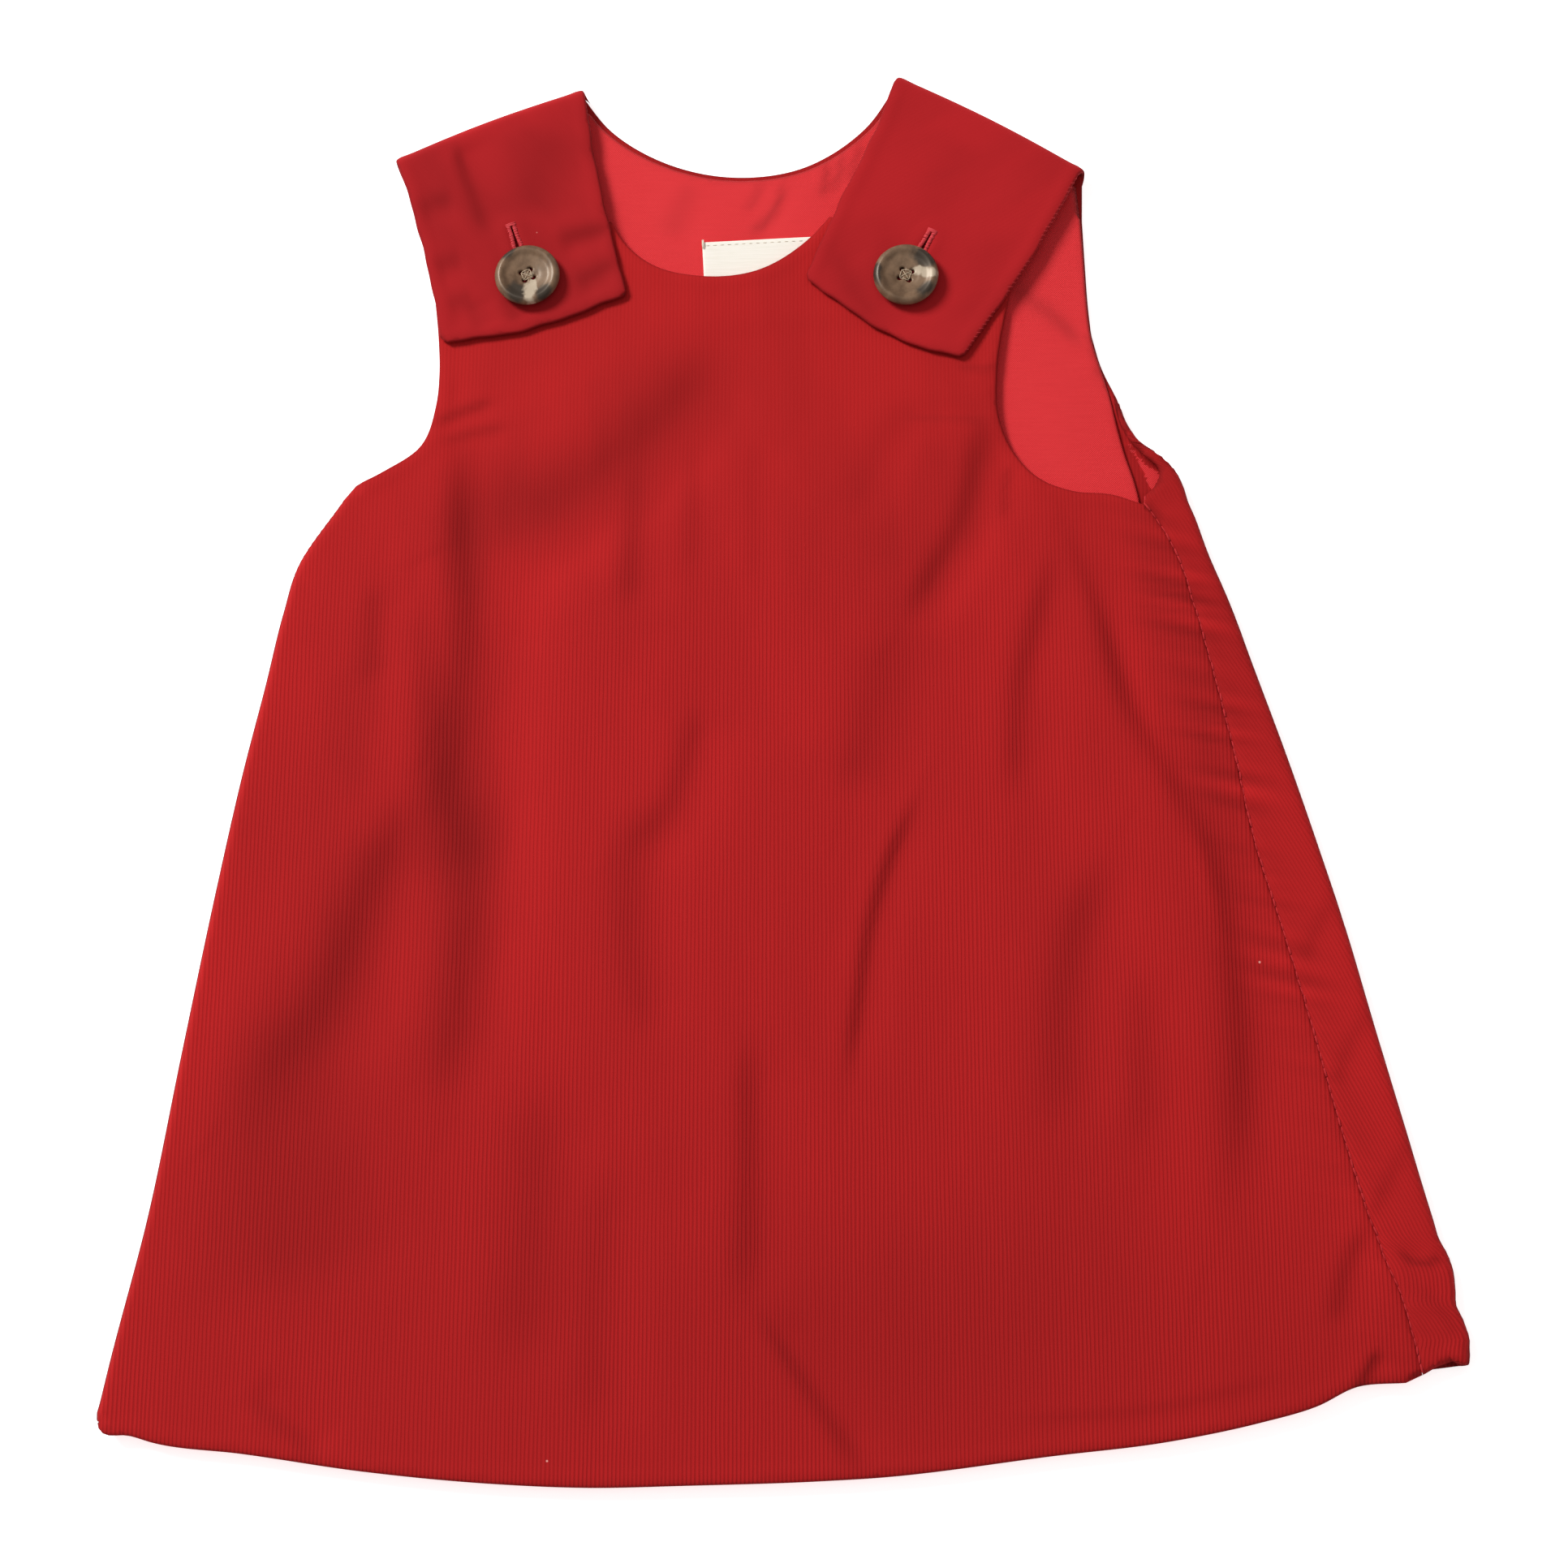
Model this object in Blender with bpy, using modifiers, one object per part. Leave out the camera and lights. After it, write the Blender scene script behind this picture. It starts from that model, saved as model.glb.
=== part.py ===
"""Toddler's pinafore dress of red needlecord, laid flat on a surface with its front up.

The dress is a flattened tube. The back lies on the surface. Its lining and the label lie on it, and the
front lies on those. The front turns under round the left fold to the left side seam, and the back turns up
round the right fold to the right side seam. Two wide straps are cut in one with the back. They fold over at
the shoulders and lie on the front, where each is held by a button.

Each cloth piece is drawn flat, as a pattern piece, in millimetres. It is then laid: turned over at its fold
lines and raised to the height of what it lies on. Solidify gives it its wall.
"""
import math
from collections import namedtuple

import bmesh
import bpy
import numpy as np
from mathutils import Matrix, Vector
from mathutils.geometry import delaunay_2d_cdt

# Sizes in millimetres, turned into metres where the meshes are made.
MM = 0.001
WALL = 1.4                 # cord and its seam allowances
LINING_WALL = 1.0
LABEL_WALL = 1.0
SEAM_GAP = 0.3             # between pieces that are sewn to each other
LAYER_GAP = 0.5            # between pieces that lie loose on each other
FLOOR_LAYER = WALL / 2     # middle of the cloth that lies on the surface
LINING_LAYER = WALL + SEAM_GAP + LINING_WALL / 2
LABEL_LAYER = LINING_LAYER + LINING_WALL / 2 + SEAM_GAP + LABEL_WALL / 2

REST = 4.9                 # middle of the front above the surface, before its creases
SKIRT_LOWEST = WALL + LAYER_GAP + WALL / 2
BODICE_LOWEST = LINING_LAYER + LINING_WALL / 2 + LAYER_GAP + WALL / 2
STRAP_BED = BODICE_LOWEST + 0.65  # middle of the front where a strap lies on it
OVER_LABEL = LABEL_LAYER + LABEL_WALL / 2 + LAYER_GAP + WALL / 2
STRAP_RISE = WALL + 0.6    # from the front's middle to the strap's middle
FOLD_LEFT_AT_SIDES = 0.35  # share of a crease's depth that is left where the dress turns at its sides
TURNED_UNDER = 17.0        # width of front that lies under the dress along the left fold
HEM_SHORTER = 2.5          # the back's hem ends this much above the front's
LINING_HEM = 52.0          # height of the lining's lower edge, hidden under the front
LINING_LEFT = -134.0       # left end of that edge
EDGE_ROLL = 2.0            # cord seen round the lining at the back neck and the armholes

BUTTON_RADIUS = 10.4
BUTTON_HOLE_RADIUS = 1.0
BUTTON_HOLE_CIRCLE = 2.26  # from the button's middle to the middle of each hole
BUTTON_HOLE_TURN = 1.08    # angle of the first hole
BUTTON_PROFILE = (         # radius and height of the turned surface, from the middle of the top
    (0.0, 1.9), (3.6, 1.9), (4.3, 2.1), (6.4, 2.35), (7.6, 2.95), (8.6, 3.2), (9.6, 2.85), (10.4, 1.9),
    (10.3, 1.1), (9.4, 0.35), (8.2, 0.0), (0.0, 0.0),
)
NECK_MIDDLE = -14.0        # x of the middle of the neckline
LABEL_WIDE = 50.0
LABEL_TALL = 24.0
LABEL_CORNER = (-26.4, 167.4)
LABEL_TURN = math.radians(3)
BUTTONHOLE_LONG = 21.0
BUTTONHOLE_WIDE = 1.2

NET_ACROSS = 8.0           # spacing of the points inside a piece that has folds, across it
NET_ALONG = 14.0           # and along it, since most folds run down the dress
FLAT_NET = 24.0            # and of those in the flat back
EDGE_STEP = 8.0            # spacing along outlines and fold lines
FINE_STEP = 6.0            # and along the neckline and the armholes
TURN_ROWS = 4              # steps round a turned fold
CLEAR_OF_EDGE = 0.9        # least distance of an inside point from its piece's edge
SHOULDER = 172.0           # height above which the back is only straps

# Left side: x of the left fold at each height y.
Left = namedtuple("Left", "y fold")
LEFT_SIDE = (
    Left(-212, -201.1), Left(-191, -197.2), Left(-148, -188.3), Left(-99, -180.8), Left(-48, -172.8),
    Left(-10, -166.2), Left(17, -160.7), Left(41, -156.1), Left(57, -151.9), Left(73, -142.2),
    Left(84, -134.5), Left(92, -127.1),
)

# Right side: x of the right fold, and the width of back that lies on top beside it, at each height y. In the
# skirt that width ends at the side seam. Beside the armhole it is the rolled edge. Below zero it only curls.
Right = namedtuple("Right", "y fold band")
RIGHT_SIDE = (
    Right(-196, 200.1, 13.5), Right(-183, 200.1, 16.0), Right(-176, 199.0, 16.5), Right(-164, 195.6, 17.4),
    Right(-148, 191.9, 18.9), Right(-121, 185.2, 19.4), Right(-86, 176.6, 18.9), Right(-61, 170.6, 19.2),
    Right(-33, 162.9, 19.0), Right(-5, 154.7, 16.0), Right(24.5, 145.4, 13.1), Right(43, 139.6, 11.7),
    Right(62, 132.6, 10.5), Right(73, 129.2, 13.0), Right(78, 127.3, 14.4), Right(83, 126.0, 9.2),
    Right(89, 123.0, 5.0), Right(93.5, 118.6, 5.2), Right(97.6, 113.0, 3.2), Right(102, 109.9, 2.4),
    Right(111.5, 106.0, 1.0), Right(122.7, 102.0, -0.8), Right(135.5, 98.5, -0.8),
)
SEAM_TOP = 78.0            # height of the right side seam's upper end
CURL_FADES = (104.0, 122.0)  # heights between which the armhole's rolled edge flattens
CURL_TOP = 135.5           # height where the back's armhole takes over from the side's table
LEFT_SEAM_TOP = 80.0

# Outlines as points (x, y), joined by smooth curves.
FRONT_HEM = (
    (-200.0, -207.5), (-197.5, -210.5), (-190, -211.2), (-183, -213.2), (-157, -216.4), (-122, -221.4),
    (-86, -224.8), (-58, -226.0), (-27, -225.4), (8, -224.3), (27, -223.2), (79, -216.9), (110, -213.2),
    (138, -207.6), (155, -202.8), (167, -197.2), (181, -196.1),
)
RIGHT_HEM = ((186.9, -194.4), (192, -190.6), (198.3, -190.8))
FRONT_ARMHOLE_RIGHT = (
    (112.4, 76.8), (103.5, 79.9), (90.7, 81.3), (80.5, 85.4), (73.0, 93.7), (68.1, 106.2), (67.8, 121.5),
    (71.4, 144.0), (74.0, 156.0), (74.5, 169.0),
)
FRONT_TAB_RIGHT = ((74.5, 169.0), (45, 175.2), (14.6, 175.4))
FRONT_NECK = (
    (14.6, 175.4), (8.8, 168.6), (-9.6, 156.4), (-25.3, 154.6), (-43.6, 159.6), (-52.1, 167.7),
    (-55.6, 174.0),
)
FRONT_TAB_LEFT = ((-55.6, 174.0), (-85, 174.5), (-113.0, 168.0))
FRONT_ARMHOLE_LEFT = (
    (-113.0, 168.0), (-112.0, 149.7), (-110.2, 132.7), (-109.6, 121.5), (-110.3, 110.3), (-114.7, 96.4),
    (-126.2, 87.8), (-134.6, 83.1),
)
BACK_ARMHOLE_RIGHT = ((98.5, 135.5), (97.6, 147), (97.1, 159), (96.5, 176))
BACK_NECK = (
    (37.5, 225.9), (26.4, 209.1), (5.6, 194.8), (-18.9, 191.8), (-39.4, 197.1), (-57.2, 209.0),
    (-66.2, 221.0),
)
BACK_ARMHOLE_LEFT = (
    (-120, 182), (-113.5, 168), (-109.5, 151), (-107.5, 134), (-107.5, 118), (-111, 101), (-119.5, 84),
)
LINING_RIGHT = (
    (109, 52), (111.5, 78.7), (110, 86.1), (107.8, 93.2), (105.2, 103.7), (103.2, 113.7), (101.5, 119.5),
    (97.4, 135.5), (96.4, 147), (95.9, 159), (95.2, 176),
)

# Straps: their fold corners, and their edges as they lie on the front, all as points (x, y). The bulge is how
# far the middle of the fold stands out past the straight line between its corners. It fades over its reach.
# The spread is how much wider the strap is at its outer corner below the fold than on top.
BULGE_REACH = 25.0
Strap = namedtuple(
    "Strap", "outer_corner inner_corner bulge spread outer_edge end inner_edge button hole_foot")
STRAPS = {
    "left": Strap(
        outer_corner=(-126.1, 196.0), inner_corner=(-66.2, 221.0), bulge=1.2, spread=0.0,
        outer_edge=((-121.7, 183.7), (-116.7, 166.3), (-112.5, 149.2), (-109.4, 132.4)),
        end=((-107.0, 130.9), (-82.4, 135.1), (-50.8, 147.0)),
        inner_edge=((-50.4, 148.8), (-55.6, 169.3), (-61.2, 195.3)),
        button=(-82.0, 153.1), hole_foot=(-87.9, 171.7)),
    "right": Strap(
        outer_corner=(96.9, 192.6), inner_corner=(37.5, 225.9), bulge=1.2, spread=2.0,
        outer_edge=((79.6, 160.6), (57.6, 126.9)),
        end=((55.6, 126.0), (37.3, 131.7), (24.4, 139.3), (7.6, 152.3)),
        inner_edge=((7.2, 154.5), (19.4, 183.6), (30.1, 207.0)),
        button=(38.9, 153.0), hole_foot=(47.7, 169.5)),
}

# Creases of the upper layer. Across each path the cloth falls to the right by drop, within reach to either
# side, and climbs back over recover.
Crease = namedtuple("Crease", "path reach drop recover")
CREASES = (
    Crease(((-105, 107), (-103, 80), (-100, 50), (-100, 20), (-102, -10), (-99, -45)), 8, 2.1, 18),
    Crease(((-98, -42), (-98, -70), (-100, -95), (-103, -118)), 7, 1.4, 12),
    Crease(((-116, -16), (-126, -45), (-135, -75), (-148, -98), (-161, -118)), 9, 1.7, 18),
    Crease(((-154, -108), (-153, -140), (-150, -178)), 15, 1.0, 25),
    Crease(((-24, 134), (-42, 104), (-60, 88), (-90, 70)), 11, 1.7, 14),
    Crease(((-46, 94), (-48, 70), (-49, 42)), 5, 0.7, 10),
    Crease(((-27, 14), (-30, -5), (-36, -22), (-47, -35)), 5, 0.8, 10),
    Crease(((-46, -22), (-47, -55), (-42, -98)), 6, 0.8, 12),
    Crease(((-74, -106), (-75, -150), (-78, -194)), 9, 0.8, 14),
    Crease(((-52, -126), (-56, -170), (-57, -216)), 6, 0.6, 12),
    Crease(((-12, -90), (-11, -130), (-12, -174)), 5, 1.0, 15),
    Crease(((-9, -174), (4, -194), (25, -225)), 4, 0.8, 9),
    Crease(((64, 110), (60, 88), (54, 68), (45, 52), (36, 36)), 5, 1.4, 10),
    Crease(((31, 34), (26, 5), (19, -20)), 8, 0.9, 14),
    Crease(((84, 64), (79, 42), (73, 20), (71, 0), (70, -24)), 5, 0.9, 10),
    Crease(((84, 80), (97, 42), (107, 5), (118, -15), (127, -38), (132, -65), (135, -95), (134, -128),
            (125, -158)), 5, 1.7, 18),
    Crease(((42, -16), (32, -38), (26, -58), (22, -82), (18, -110)), 4, 1.0, 9),
    Crease(((100, -34), (90, -55), (84, -80), (82, -124)), 6, 0.9, 12),
)


# Smooth lines through the rows of a table.
def hermite(knots, values, at):
    """Values at the places asked for, on a smooth curve through the knots."""
    slopes = np.gradient(values, knots)
    i = np.clip(np.searchsorted(knots, at) - 1, 0, len(knots) - 2)
    span = knots[i + 1] - knots[i]
    t = np.clip((at - knots[i]) / span, 0, 1)
    start = (1 + 2 * t) * (1 - t) ** 2 * values[i] + t * (1 - t) ** 2 * span * slopes[i]
    end = t * t * (3 - 2 * t) * values[i + 1] + t * t * (t - 1) * span * slopes[i + 1]
    return start + end


def column(rows, name, y):
    """A column of a side's table at height y."""
    knots = np.array([row.y for row in rows], float)
    values = np.array([getattr(row, name) for row in rows], float)
    return hermite(knots, values, y)


def curve(points, step=EDGE_STEP):
    """Points about a step apart on a smooth curve through the given ones."""
    given = np.array(points, float)
    knots = np.concatenate(([0.0], np.cumsum(np.linalg.norm(np.diff(given, axis=0), axis=1))))
    at = np.linspace(0, knots[-1], max(1, round(knots[-1] / step)) + 1)
    return np.column_stack([hermite(knots, given[:, axis], at) for axis in (0, 1)])


def stations(low, high, step=EDGE_STEP):
    """Heights from low to high, about a step apart."""
    return np.linspace(low, high, max(1, round((high - low) / step)) + 1)


def loop(*stretches):
    """One closed outline from stretches laid end to end, with near-double points left out."""
    points = np.vstack(stretches)
    keep = [0]
    for i in range(1, len(points)):
        if np.linalg.norm(points[i] - points[keep[-1]]) > CLEAR_OF_EDGE:
            keep.append(i)
    if np.linalg.norm(points[keep[-1]] - points[0]) <= CLEAR_OF_EDGE:
        keep.pop()
    return points[keep]


# Heights of the upper layer.
def ease(value, low, high):
    """0 below low, 1 above high, smooth between."""
    t = np.clip((value - low) / (high - low), 0, 1)
    return t * t * (3 - 2 * t)


def beside_path(path, x, y):
    """Distance from a path, more than zero on its right, and the share of the path gone by."""
    path = curve(path, FINE_STEP)
    best = np.full(np.shape(x), np.inf)
    side = np.zeros_like(best)
    along = np.zeros_like(best)
    gone = 0.0
    for a, b in zip(path, path[1:]):
        way = b - a
        long = math.hypot(*way)
        t = np.clip(((x - a[0]) * way[0] + (y - a[1]) * way[1]) / long ** 2, 0, 1)
        dx, dy = x - a[0] - t * way[0], y - a[1] - t * way[1]
        away = np.hypot(dx, dy)
        closer = away < best
        best = np.where(closer, away, best)
        on_right = (dx * way[1] - dy * way[0]) * way[1] > 0
        side = np.where(closer, np.where(on_right, away, -away), side)
        along = np.where(closer, gone + t * long, along)
        gone += long
    return side, along / gone


def crease_depth(crease, x, y):
    """How far one crease lowers the cloth: a slight rise before it, the fall, and the climb back."""
    side, along = beside_path(crease.path, x, y)
    taper = (0.1 + 0.9 * ease(along, 0, 0.3)) * (0.1 + 0.9 * (1 - ease(along, 0.7, 1)))
    fall = 0.5 + 0.5 * np.tanh(1.3 * side / crease.reach)
    climb = np.exp(-(np.maximum(side - crease.reach, 0) / crease.recover) ** 2)
    lead = np.exp(-((side + 1.3 * crease.reach) / (1.6 * crease.reach + 2)) ** 2)
    ends = np.exp(-(np.maximum(np.abs(side) - crease.recover, 0) / crease.recover) ** 2)
    return crease.drop * taper * (fall * climb - 0.3 * lead) * ends


def label_box(x, y):
    """Distance outside the label, 0 on it."""
    turn = (math.cos(LABEL_TURN), math.sin(LABEL_TURN))
    across = (x - LABEL_CORNER[0]) * turn[0] + (y - LABEL_CORNER[1]) * turn[1]
    down = (x - LABEL_CORNER[0]) * turn[1] - (y - LABEL_CORNER[1]) * turn[0]
    outside_x = np.maximum(np.maximum(-across, across - LABEL_WIDE), 0)
    outside_y = np.maximum(np.maximum(-down, down - LABEL_TALL), 0)
    return np.hypot(outside_x, outside_y)


def lowest(x, y):
    """Lowest that the upper layer may lie: on the back, on the lining, or on the label."""
    on_lining = ease(y, LINING_HEM - 30, LINING_HEM - 12)
    on_label = 1 - ease(label_box(x, y), 3, 22)
    floor = SKIRT_LOWEST + (BODICE_LOWEST - SKIRT_LOWEST) * on_lining
    return floor + (OVER_LABEL - BODICE_LOWEST) * on_label


def under_straps(x, y):
    """1 where a strap lies on the front, fading out beside it."""
    pressed = np.zeros(np.shape(x))
    for strap in STRAPS.values():
        (ax, ay), (bx, by) = strap.hole_foot, strap.button
        long = math.hypot(bx - ax, by - ay)
        past = ((x - ax) * (bx - ax) + (y - ay) * (by - ay)) / long
        off = np.abs((x - ax) * (by - ay) - (y - ay) * (bx - ax)) / long
        pressed = np.maximum(pressed, (1 - ease(past, 34, 48)) * (1 - ease(off, 30, 40)))
    return pressed


def top_height(x, y):
    """Height of the middle of the upper layer."""
    x, y = np.asarray(x, float), np.asarray(y, float)
    beside = ease(x - column(LEFT_SIDE, "fold", y), 2, 16) * ease(column(RIGHT_SIDE, "fold", y) - x, 2, 22)
    depth = sum(crease_depth(crease, x, y) for crease in CREASES)
    wanted = REST - depth * (FOLD_LEFT_AT_SIDES + (1 - FOLD_LEFT_AT_SIDES) * beside)
    wanted = wanted + (STRAP_BED - wanted) * under_straps(x, y)
    floor = lowest(x, y)
    return floor + np.logaddexp(0, (wanted - floor) * 4) / 4


def strap_height(x, y):
    """Height of the middle of a strap that lies on the front."""
    return top_height(x, y) + STRAP_RISE


# The two side folds, where cloth turns from one layer to the other.
def turn_radius(edge_x, y):
    """Radius of a side's turn: it reaches from the cloth on the surface to the upper layer."""
    return (top_height(edge_x, y) - FLOOR_LAYER) / 2


def left_turn(y):
    """Where the left turn starts on top, and its radius."""
    edge = column(LEFT_SIDE, "fold", y) + WALL / 2
    radius = turn_radius(edge + 1.7, y)
    return edge + radius, radius


def right_turn(y):
    """Where the right turn starts below, and its radius."""
    edge = column(RIGHT_SIDE, "fold", y) - WALL / 2
    radius = turn_radius(edge - 1.7, y)
    return edge - radius, radius


def band_reach(y):
    """Flat width of the back past the right turn's start."""
    start, radius = right_turn(y)
    band = column(RIGHT_SIDE, "band", y)
    return np.maximum(math.pi * radius + band - radius - WALL / 2, 0)


def under_reach(y):
    """Flat width of the front past the left turn's start."""
    start, radius = left_turn(y)
    return math.pi * radius + TURNED_UNDER


# Laying: from a flat point of a pattern piece to its place in space.
def lay_front(x, y):
    start, radius = left_turn(y)
    past = start - x
    angle = np.clip(past / radius, 0, math.pi)
    under = np.maximum(past - math.pi * radius, 0)
    turned = (start - radius * np.sin(angle) + under, y, FLOOR_LAYER + radius * (1 + np.cos(angle)))
    return np.where(past > 0, turned, (x, y, top_height(x, y)))


def strap_frame(strap):
    """A strap's fold line: its outer corner, the way along it, and the way out of the dress."""
    corner = np.array(strap.outer_corner, float)
    along = np.array(strap.inner_corner, float) - corner
    long = np.linalg.norm(along)
    along = along / long
    out = np.array((-along[1], along[0]))
    if out[1] < 0:
        out = -out
    middle = corner + along * long / 2
    radius = (strap_height(*middle) - FLOOR_LAYER) / 2
    return corner, along, out, long, radius


def unfold(strap, points):
    """Flat places of points of a strap as it lies on the front."""
    corner, along, out, long, radius = strap_frame(strap)
    points = np.array(points, float)
    beyond = (points - corner) @ out
    inset = WALL / 2 + radius
    return points + np.outer(-2 * beyond - 2 * inset + math.pi * radius, out)


def lay_strap(strap, x, y):
    """Place of the cloth past a strap's fold line, and how far past it is."""
    corner, along, out, long, radius = strap_frame(strap)
    side = (x - corner[0]) * along[0] + (y - corner[1]) * along[1]
    past = (x - corner[0]) * out[0] + (y - corner[1]) * out[1] + WALL / 2 + radius
    angle = np.clip(past / radius, 0, math.pi)
    over = np.maximum(past - math.pi * radius, 0)
    reach = radius * np.sin(angle) - over + np.minimum(past, 0) - WALL / 2 - radius
    t = np.clip(side / long, 0, 1)
    reach = reach + strap.bulge * np.sin(math.pi * t) * np.exp(-(np.minimum(past, 0) + over) ** 2 / 150)
    laid_x = corner[0] + side * along[0] + reach * out[0]
    laid_y = corner[1] + side * along[1] + reach * out[1]
    turn_z = FLOOR_LAYER + radius * (1 - np.cos(angle))
    laid_z = np.where(over > 0, np.maximum(strap_height(laid_x, laid_y), turn_z), turn_z)
    return (laid_x, laid_y, laid_z), past


def lay_back(x, y):
    place = np.array((x, y, np.full_like(x, FLOOR_LAYER)))
    start, radius = right_turn(y)
    past = x - start
    angle = np.clip(past / radius, 0, math.pi)
    over = np.maximum(past - math.pi * radius, 0)
    turned_x = start + radius * np.sin(angle) - over
    turned_z = np.where(over > 0, top_height(turned_x, y), FLOOR_LAYER + radius * (1 - np.cos(angle)))
    turned = np.array((turned_x, y, turned_z))
    curled = 1 - ease(y, *CURL_FADES)
    place = np.where(past > 0, place + (turned - place) * curled, place)
    for name, strap in STRAPS.items():
        this_side = x < 0 if name == "left" else x > 0
        laid, beyond = lay_strap(strap, x, y)
        near = this_side & (beyond > -BULGE_REACH) & (y > CURL_TOP + 10)
        place = np.where(near & (beyond > 0), laid, place)
        bulged = np.array((laid[0], laid[1], np.full_like(x, FLOOR_LAYER)))
        place = np.where(near & (beyond <= 0), bulged, place)
    return place


def lay_lining(x, y):
    return np.array((x, y, np.full_like(x, LINING_LAYER)))


def lay_label(x, y):
    return np.array((x, y, np.full_like(x, LABEL_LAYER)))


# Points inside the pattern pieces.
def inside(outline, x, y):
    """Which points lie inside a closed outline."""
    x0, y0 = outline[:, 0], outline[:, 1]
    x1, y1 = np.roll(x0, -1), np.roll(y0, -1)
    crosses = (y0[:, None] > y) != (y1[:, None] > y)
    rise = np.where(y1 == y0, 1, y1 - y0)
    at = x0[:, None] + (y - y0[:, None]) * ((x1 - x0) / rise)[:, None]
    return (crosses & (x < at)).sum(axis=0) % 2 == 1


def clearance(outline, x, y):
    """Distance of each point from an outline."""
    a = outline
    b = np.roll(outline, -1, axis=0)
    along = b - a
    length = np.maximum((along ** 2).sum(axis=1), 1e-9)
    px, py = x[None, :] - a[:, 0, None], y[None, :] - a[:, 1, None]
    t = np.clip((px * along[:, 0, None] + py * along[:, 1, None]) / length[:, None], 0, 1)
    return np.sqrt((px - t * along[:, 0, None]) ** 2 + (py - t * along[:, 1, None]) ** 2).min(axis=0)


def net(outline, across, along, where=None):
    """Staggered columns of points inside an outline, clear of its edge."""
    low, high = outline.min(axis=0), outline.max(axis=0)
    points = []
    for number, x in enumerate(np.arange(low[0] + across / 2, high[0], across)):
        shift = along / 2 if number % 2 else 0
        points += [(x, y) for y in np.arange(low[1] + shift, high[1], along)]
    points = np.array(points)
    x, y = points[:, 0], points[:, 1]
    keep = inside(outline, x, y) & (clearance(outline, x, y) > across / 2)
    if where is not None:
        keep &= where(x, y)
    return points[keep]


def turn_points(outline, place, heights):
    """Rows of points round a side fold: place gives the flat x of row k at height y."""
    points = np.array([(float(place(k, y)), y) for y in heights for k in range(TURN_ROWS + 1)])
    x, y = points[:, 0], points[:, 1]
    return points[inside(outline, x, y) & (clearance(outline, x, y) > CLEAR_OF_EDGE)]


# Meshes.
def collection(name, hidden=False):
    made = bpy.data.collections.new(name)
    bpy.context.scene.collection.children.link(made)
    made.hide_render = hidden
    return made


def material(name, color, roughness):
    made = bpy.data.materials.new(name)
    made.use_nodes = True
    shader = made.node_tree.nodes["Principled BSDF"]
    shader.inputs["Base Color"].default_value = (*color, 1)
    shader.inputs["Roughness"].default_value = roughness
    shader.inputs["Metallic"].default_value = 0
    return made


def cloth(name, outline, points, lay, wall, finish, group, slit=None):
    """A cloth piece: its flat outline filled with triangles, laid, and given its wall."""
    loops = [outline] if slit is None else [outline, *slit]
    verts, edges = [], []
    for one in loops:
        first = len(verts)
        verts += [Vector(p) for p in one]
        edges += [(first + i, first + (i + 1) % len(one)) for i in range(len(one))]
    verts += [Vector(p) for p in points]
    flat, _, faces, *_ = delaunay_2d_cdt(verts, edges, [], 0, 1e-4)
    flat = np.array([tuple(v) for v in flat])
    middle = np.array([flat[list(face)].mean(axis=0) for face in faces])
    keep = inside(outline, middle[:, 0], middle[:, 1])
    for hole in loops[1:]:
        keep &= ~inside(hole, middle[:, 0], middle[:, 1])
    laid = np.array(lay(flat[:, 0], flat[:, 1])).T * MM

    mesh = bpy.data.meshes.new(name)
    mesh.from_pydata([tuple(p) for p in laid], [], [face for face, kept in zip(faces, keep) if kept])
    shape = bmesh.new()
    shape.from_mesh(mesh)
    bmesh.ops.delete(shape, geom=[v for v in shape.verts if not v.link_faces], context="VERTS")
    bmesh.ops.recalc_face_normals(shape, faces=shape.faces)
    shape.to_mesh(mesh)
    shape.free()
    mesh.materials.append(finish)

    piece = bpy.data.objects.new(name, mesh)
    group.objects.link(piece)
    solid = piece.modifiers.new("wall", "SOLIDIFY")
    solid.thickness = wall * MM
    solid.offset = 0
    return piece


# The pieces.
def front(finish, group):
    """The front, from the left seam under the dress to the right seam on top."""
    hem_y = FRONT_HEM[0][1]
    hem_start, hem_radius = left_turn(hem_y)
    rows = math.pi * hem_radius * np.arange(TURN_ROWS, 1, -1) / TURN_ROWS
    under_hem = [(hem_start - reach, hem_y + 0.5) for reach in (under_reach(hem_y), *rows)]
    seam_y = stations(RIGHT_HEM[0][1] + 0.6, SEAM_TOP)
    seam_x = column(RIGHT_SIDE, "fold", seam_y) - column(RIGHT_SIDE, "band", seam_y) - SEAM_GAP
    under_y = stations(hem_y + 0.5, LEFT_SEAM_TOP)[::-1]
    under_x = left_turn(under_y)[0] - under_reach(under_y)
    outline = loop(
        under_hem, curve(FRONT_HEM), np.column_stack([seam_x, seam_y]), curve(FRONT_ARMHOLE_RIGHT, FINE_STEP),
        curve(FRONT_TAB_RIGHT), curve(FRONT_NECK, FINE_STEP), curve(FRONT_TAB_LEFT),
        curve(FRONT_ARMHOLE_LEFT, FINE_STEP),
        np.column_stack([under_x, under_y]))
    turn = turn_points(
        outline, lambda k, y: left_turn(y)[0] - math.pi * left_turn(y)[1] * k / TURN_ROWS,
        stations(hem_y + EDGE_STEP, LEFT_SEAM_TOP))
    clear = net(outline, NET_ACROSS, NET_ALONG, lambda x, y: x > left_turn(y)[0] + NET_ACROSS * 0.6)
    return cloth("front", outline, np.vstack([clear, turn]), lay_front, WALL, finish, group)


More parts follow.
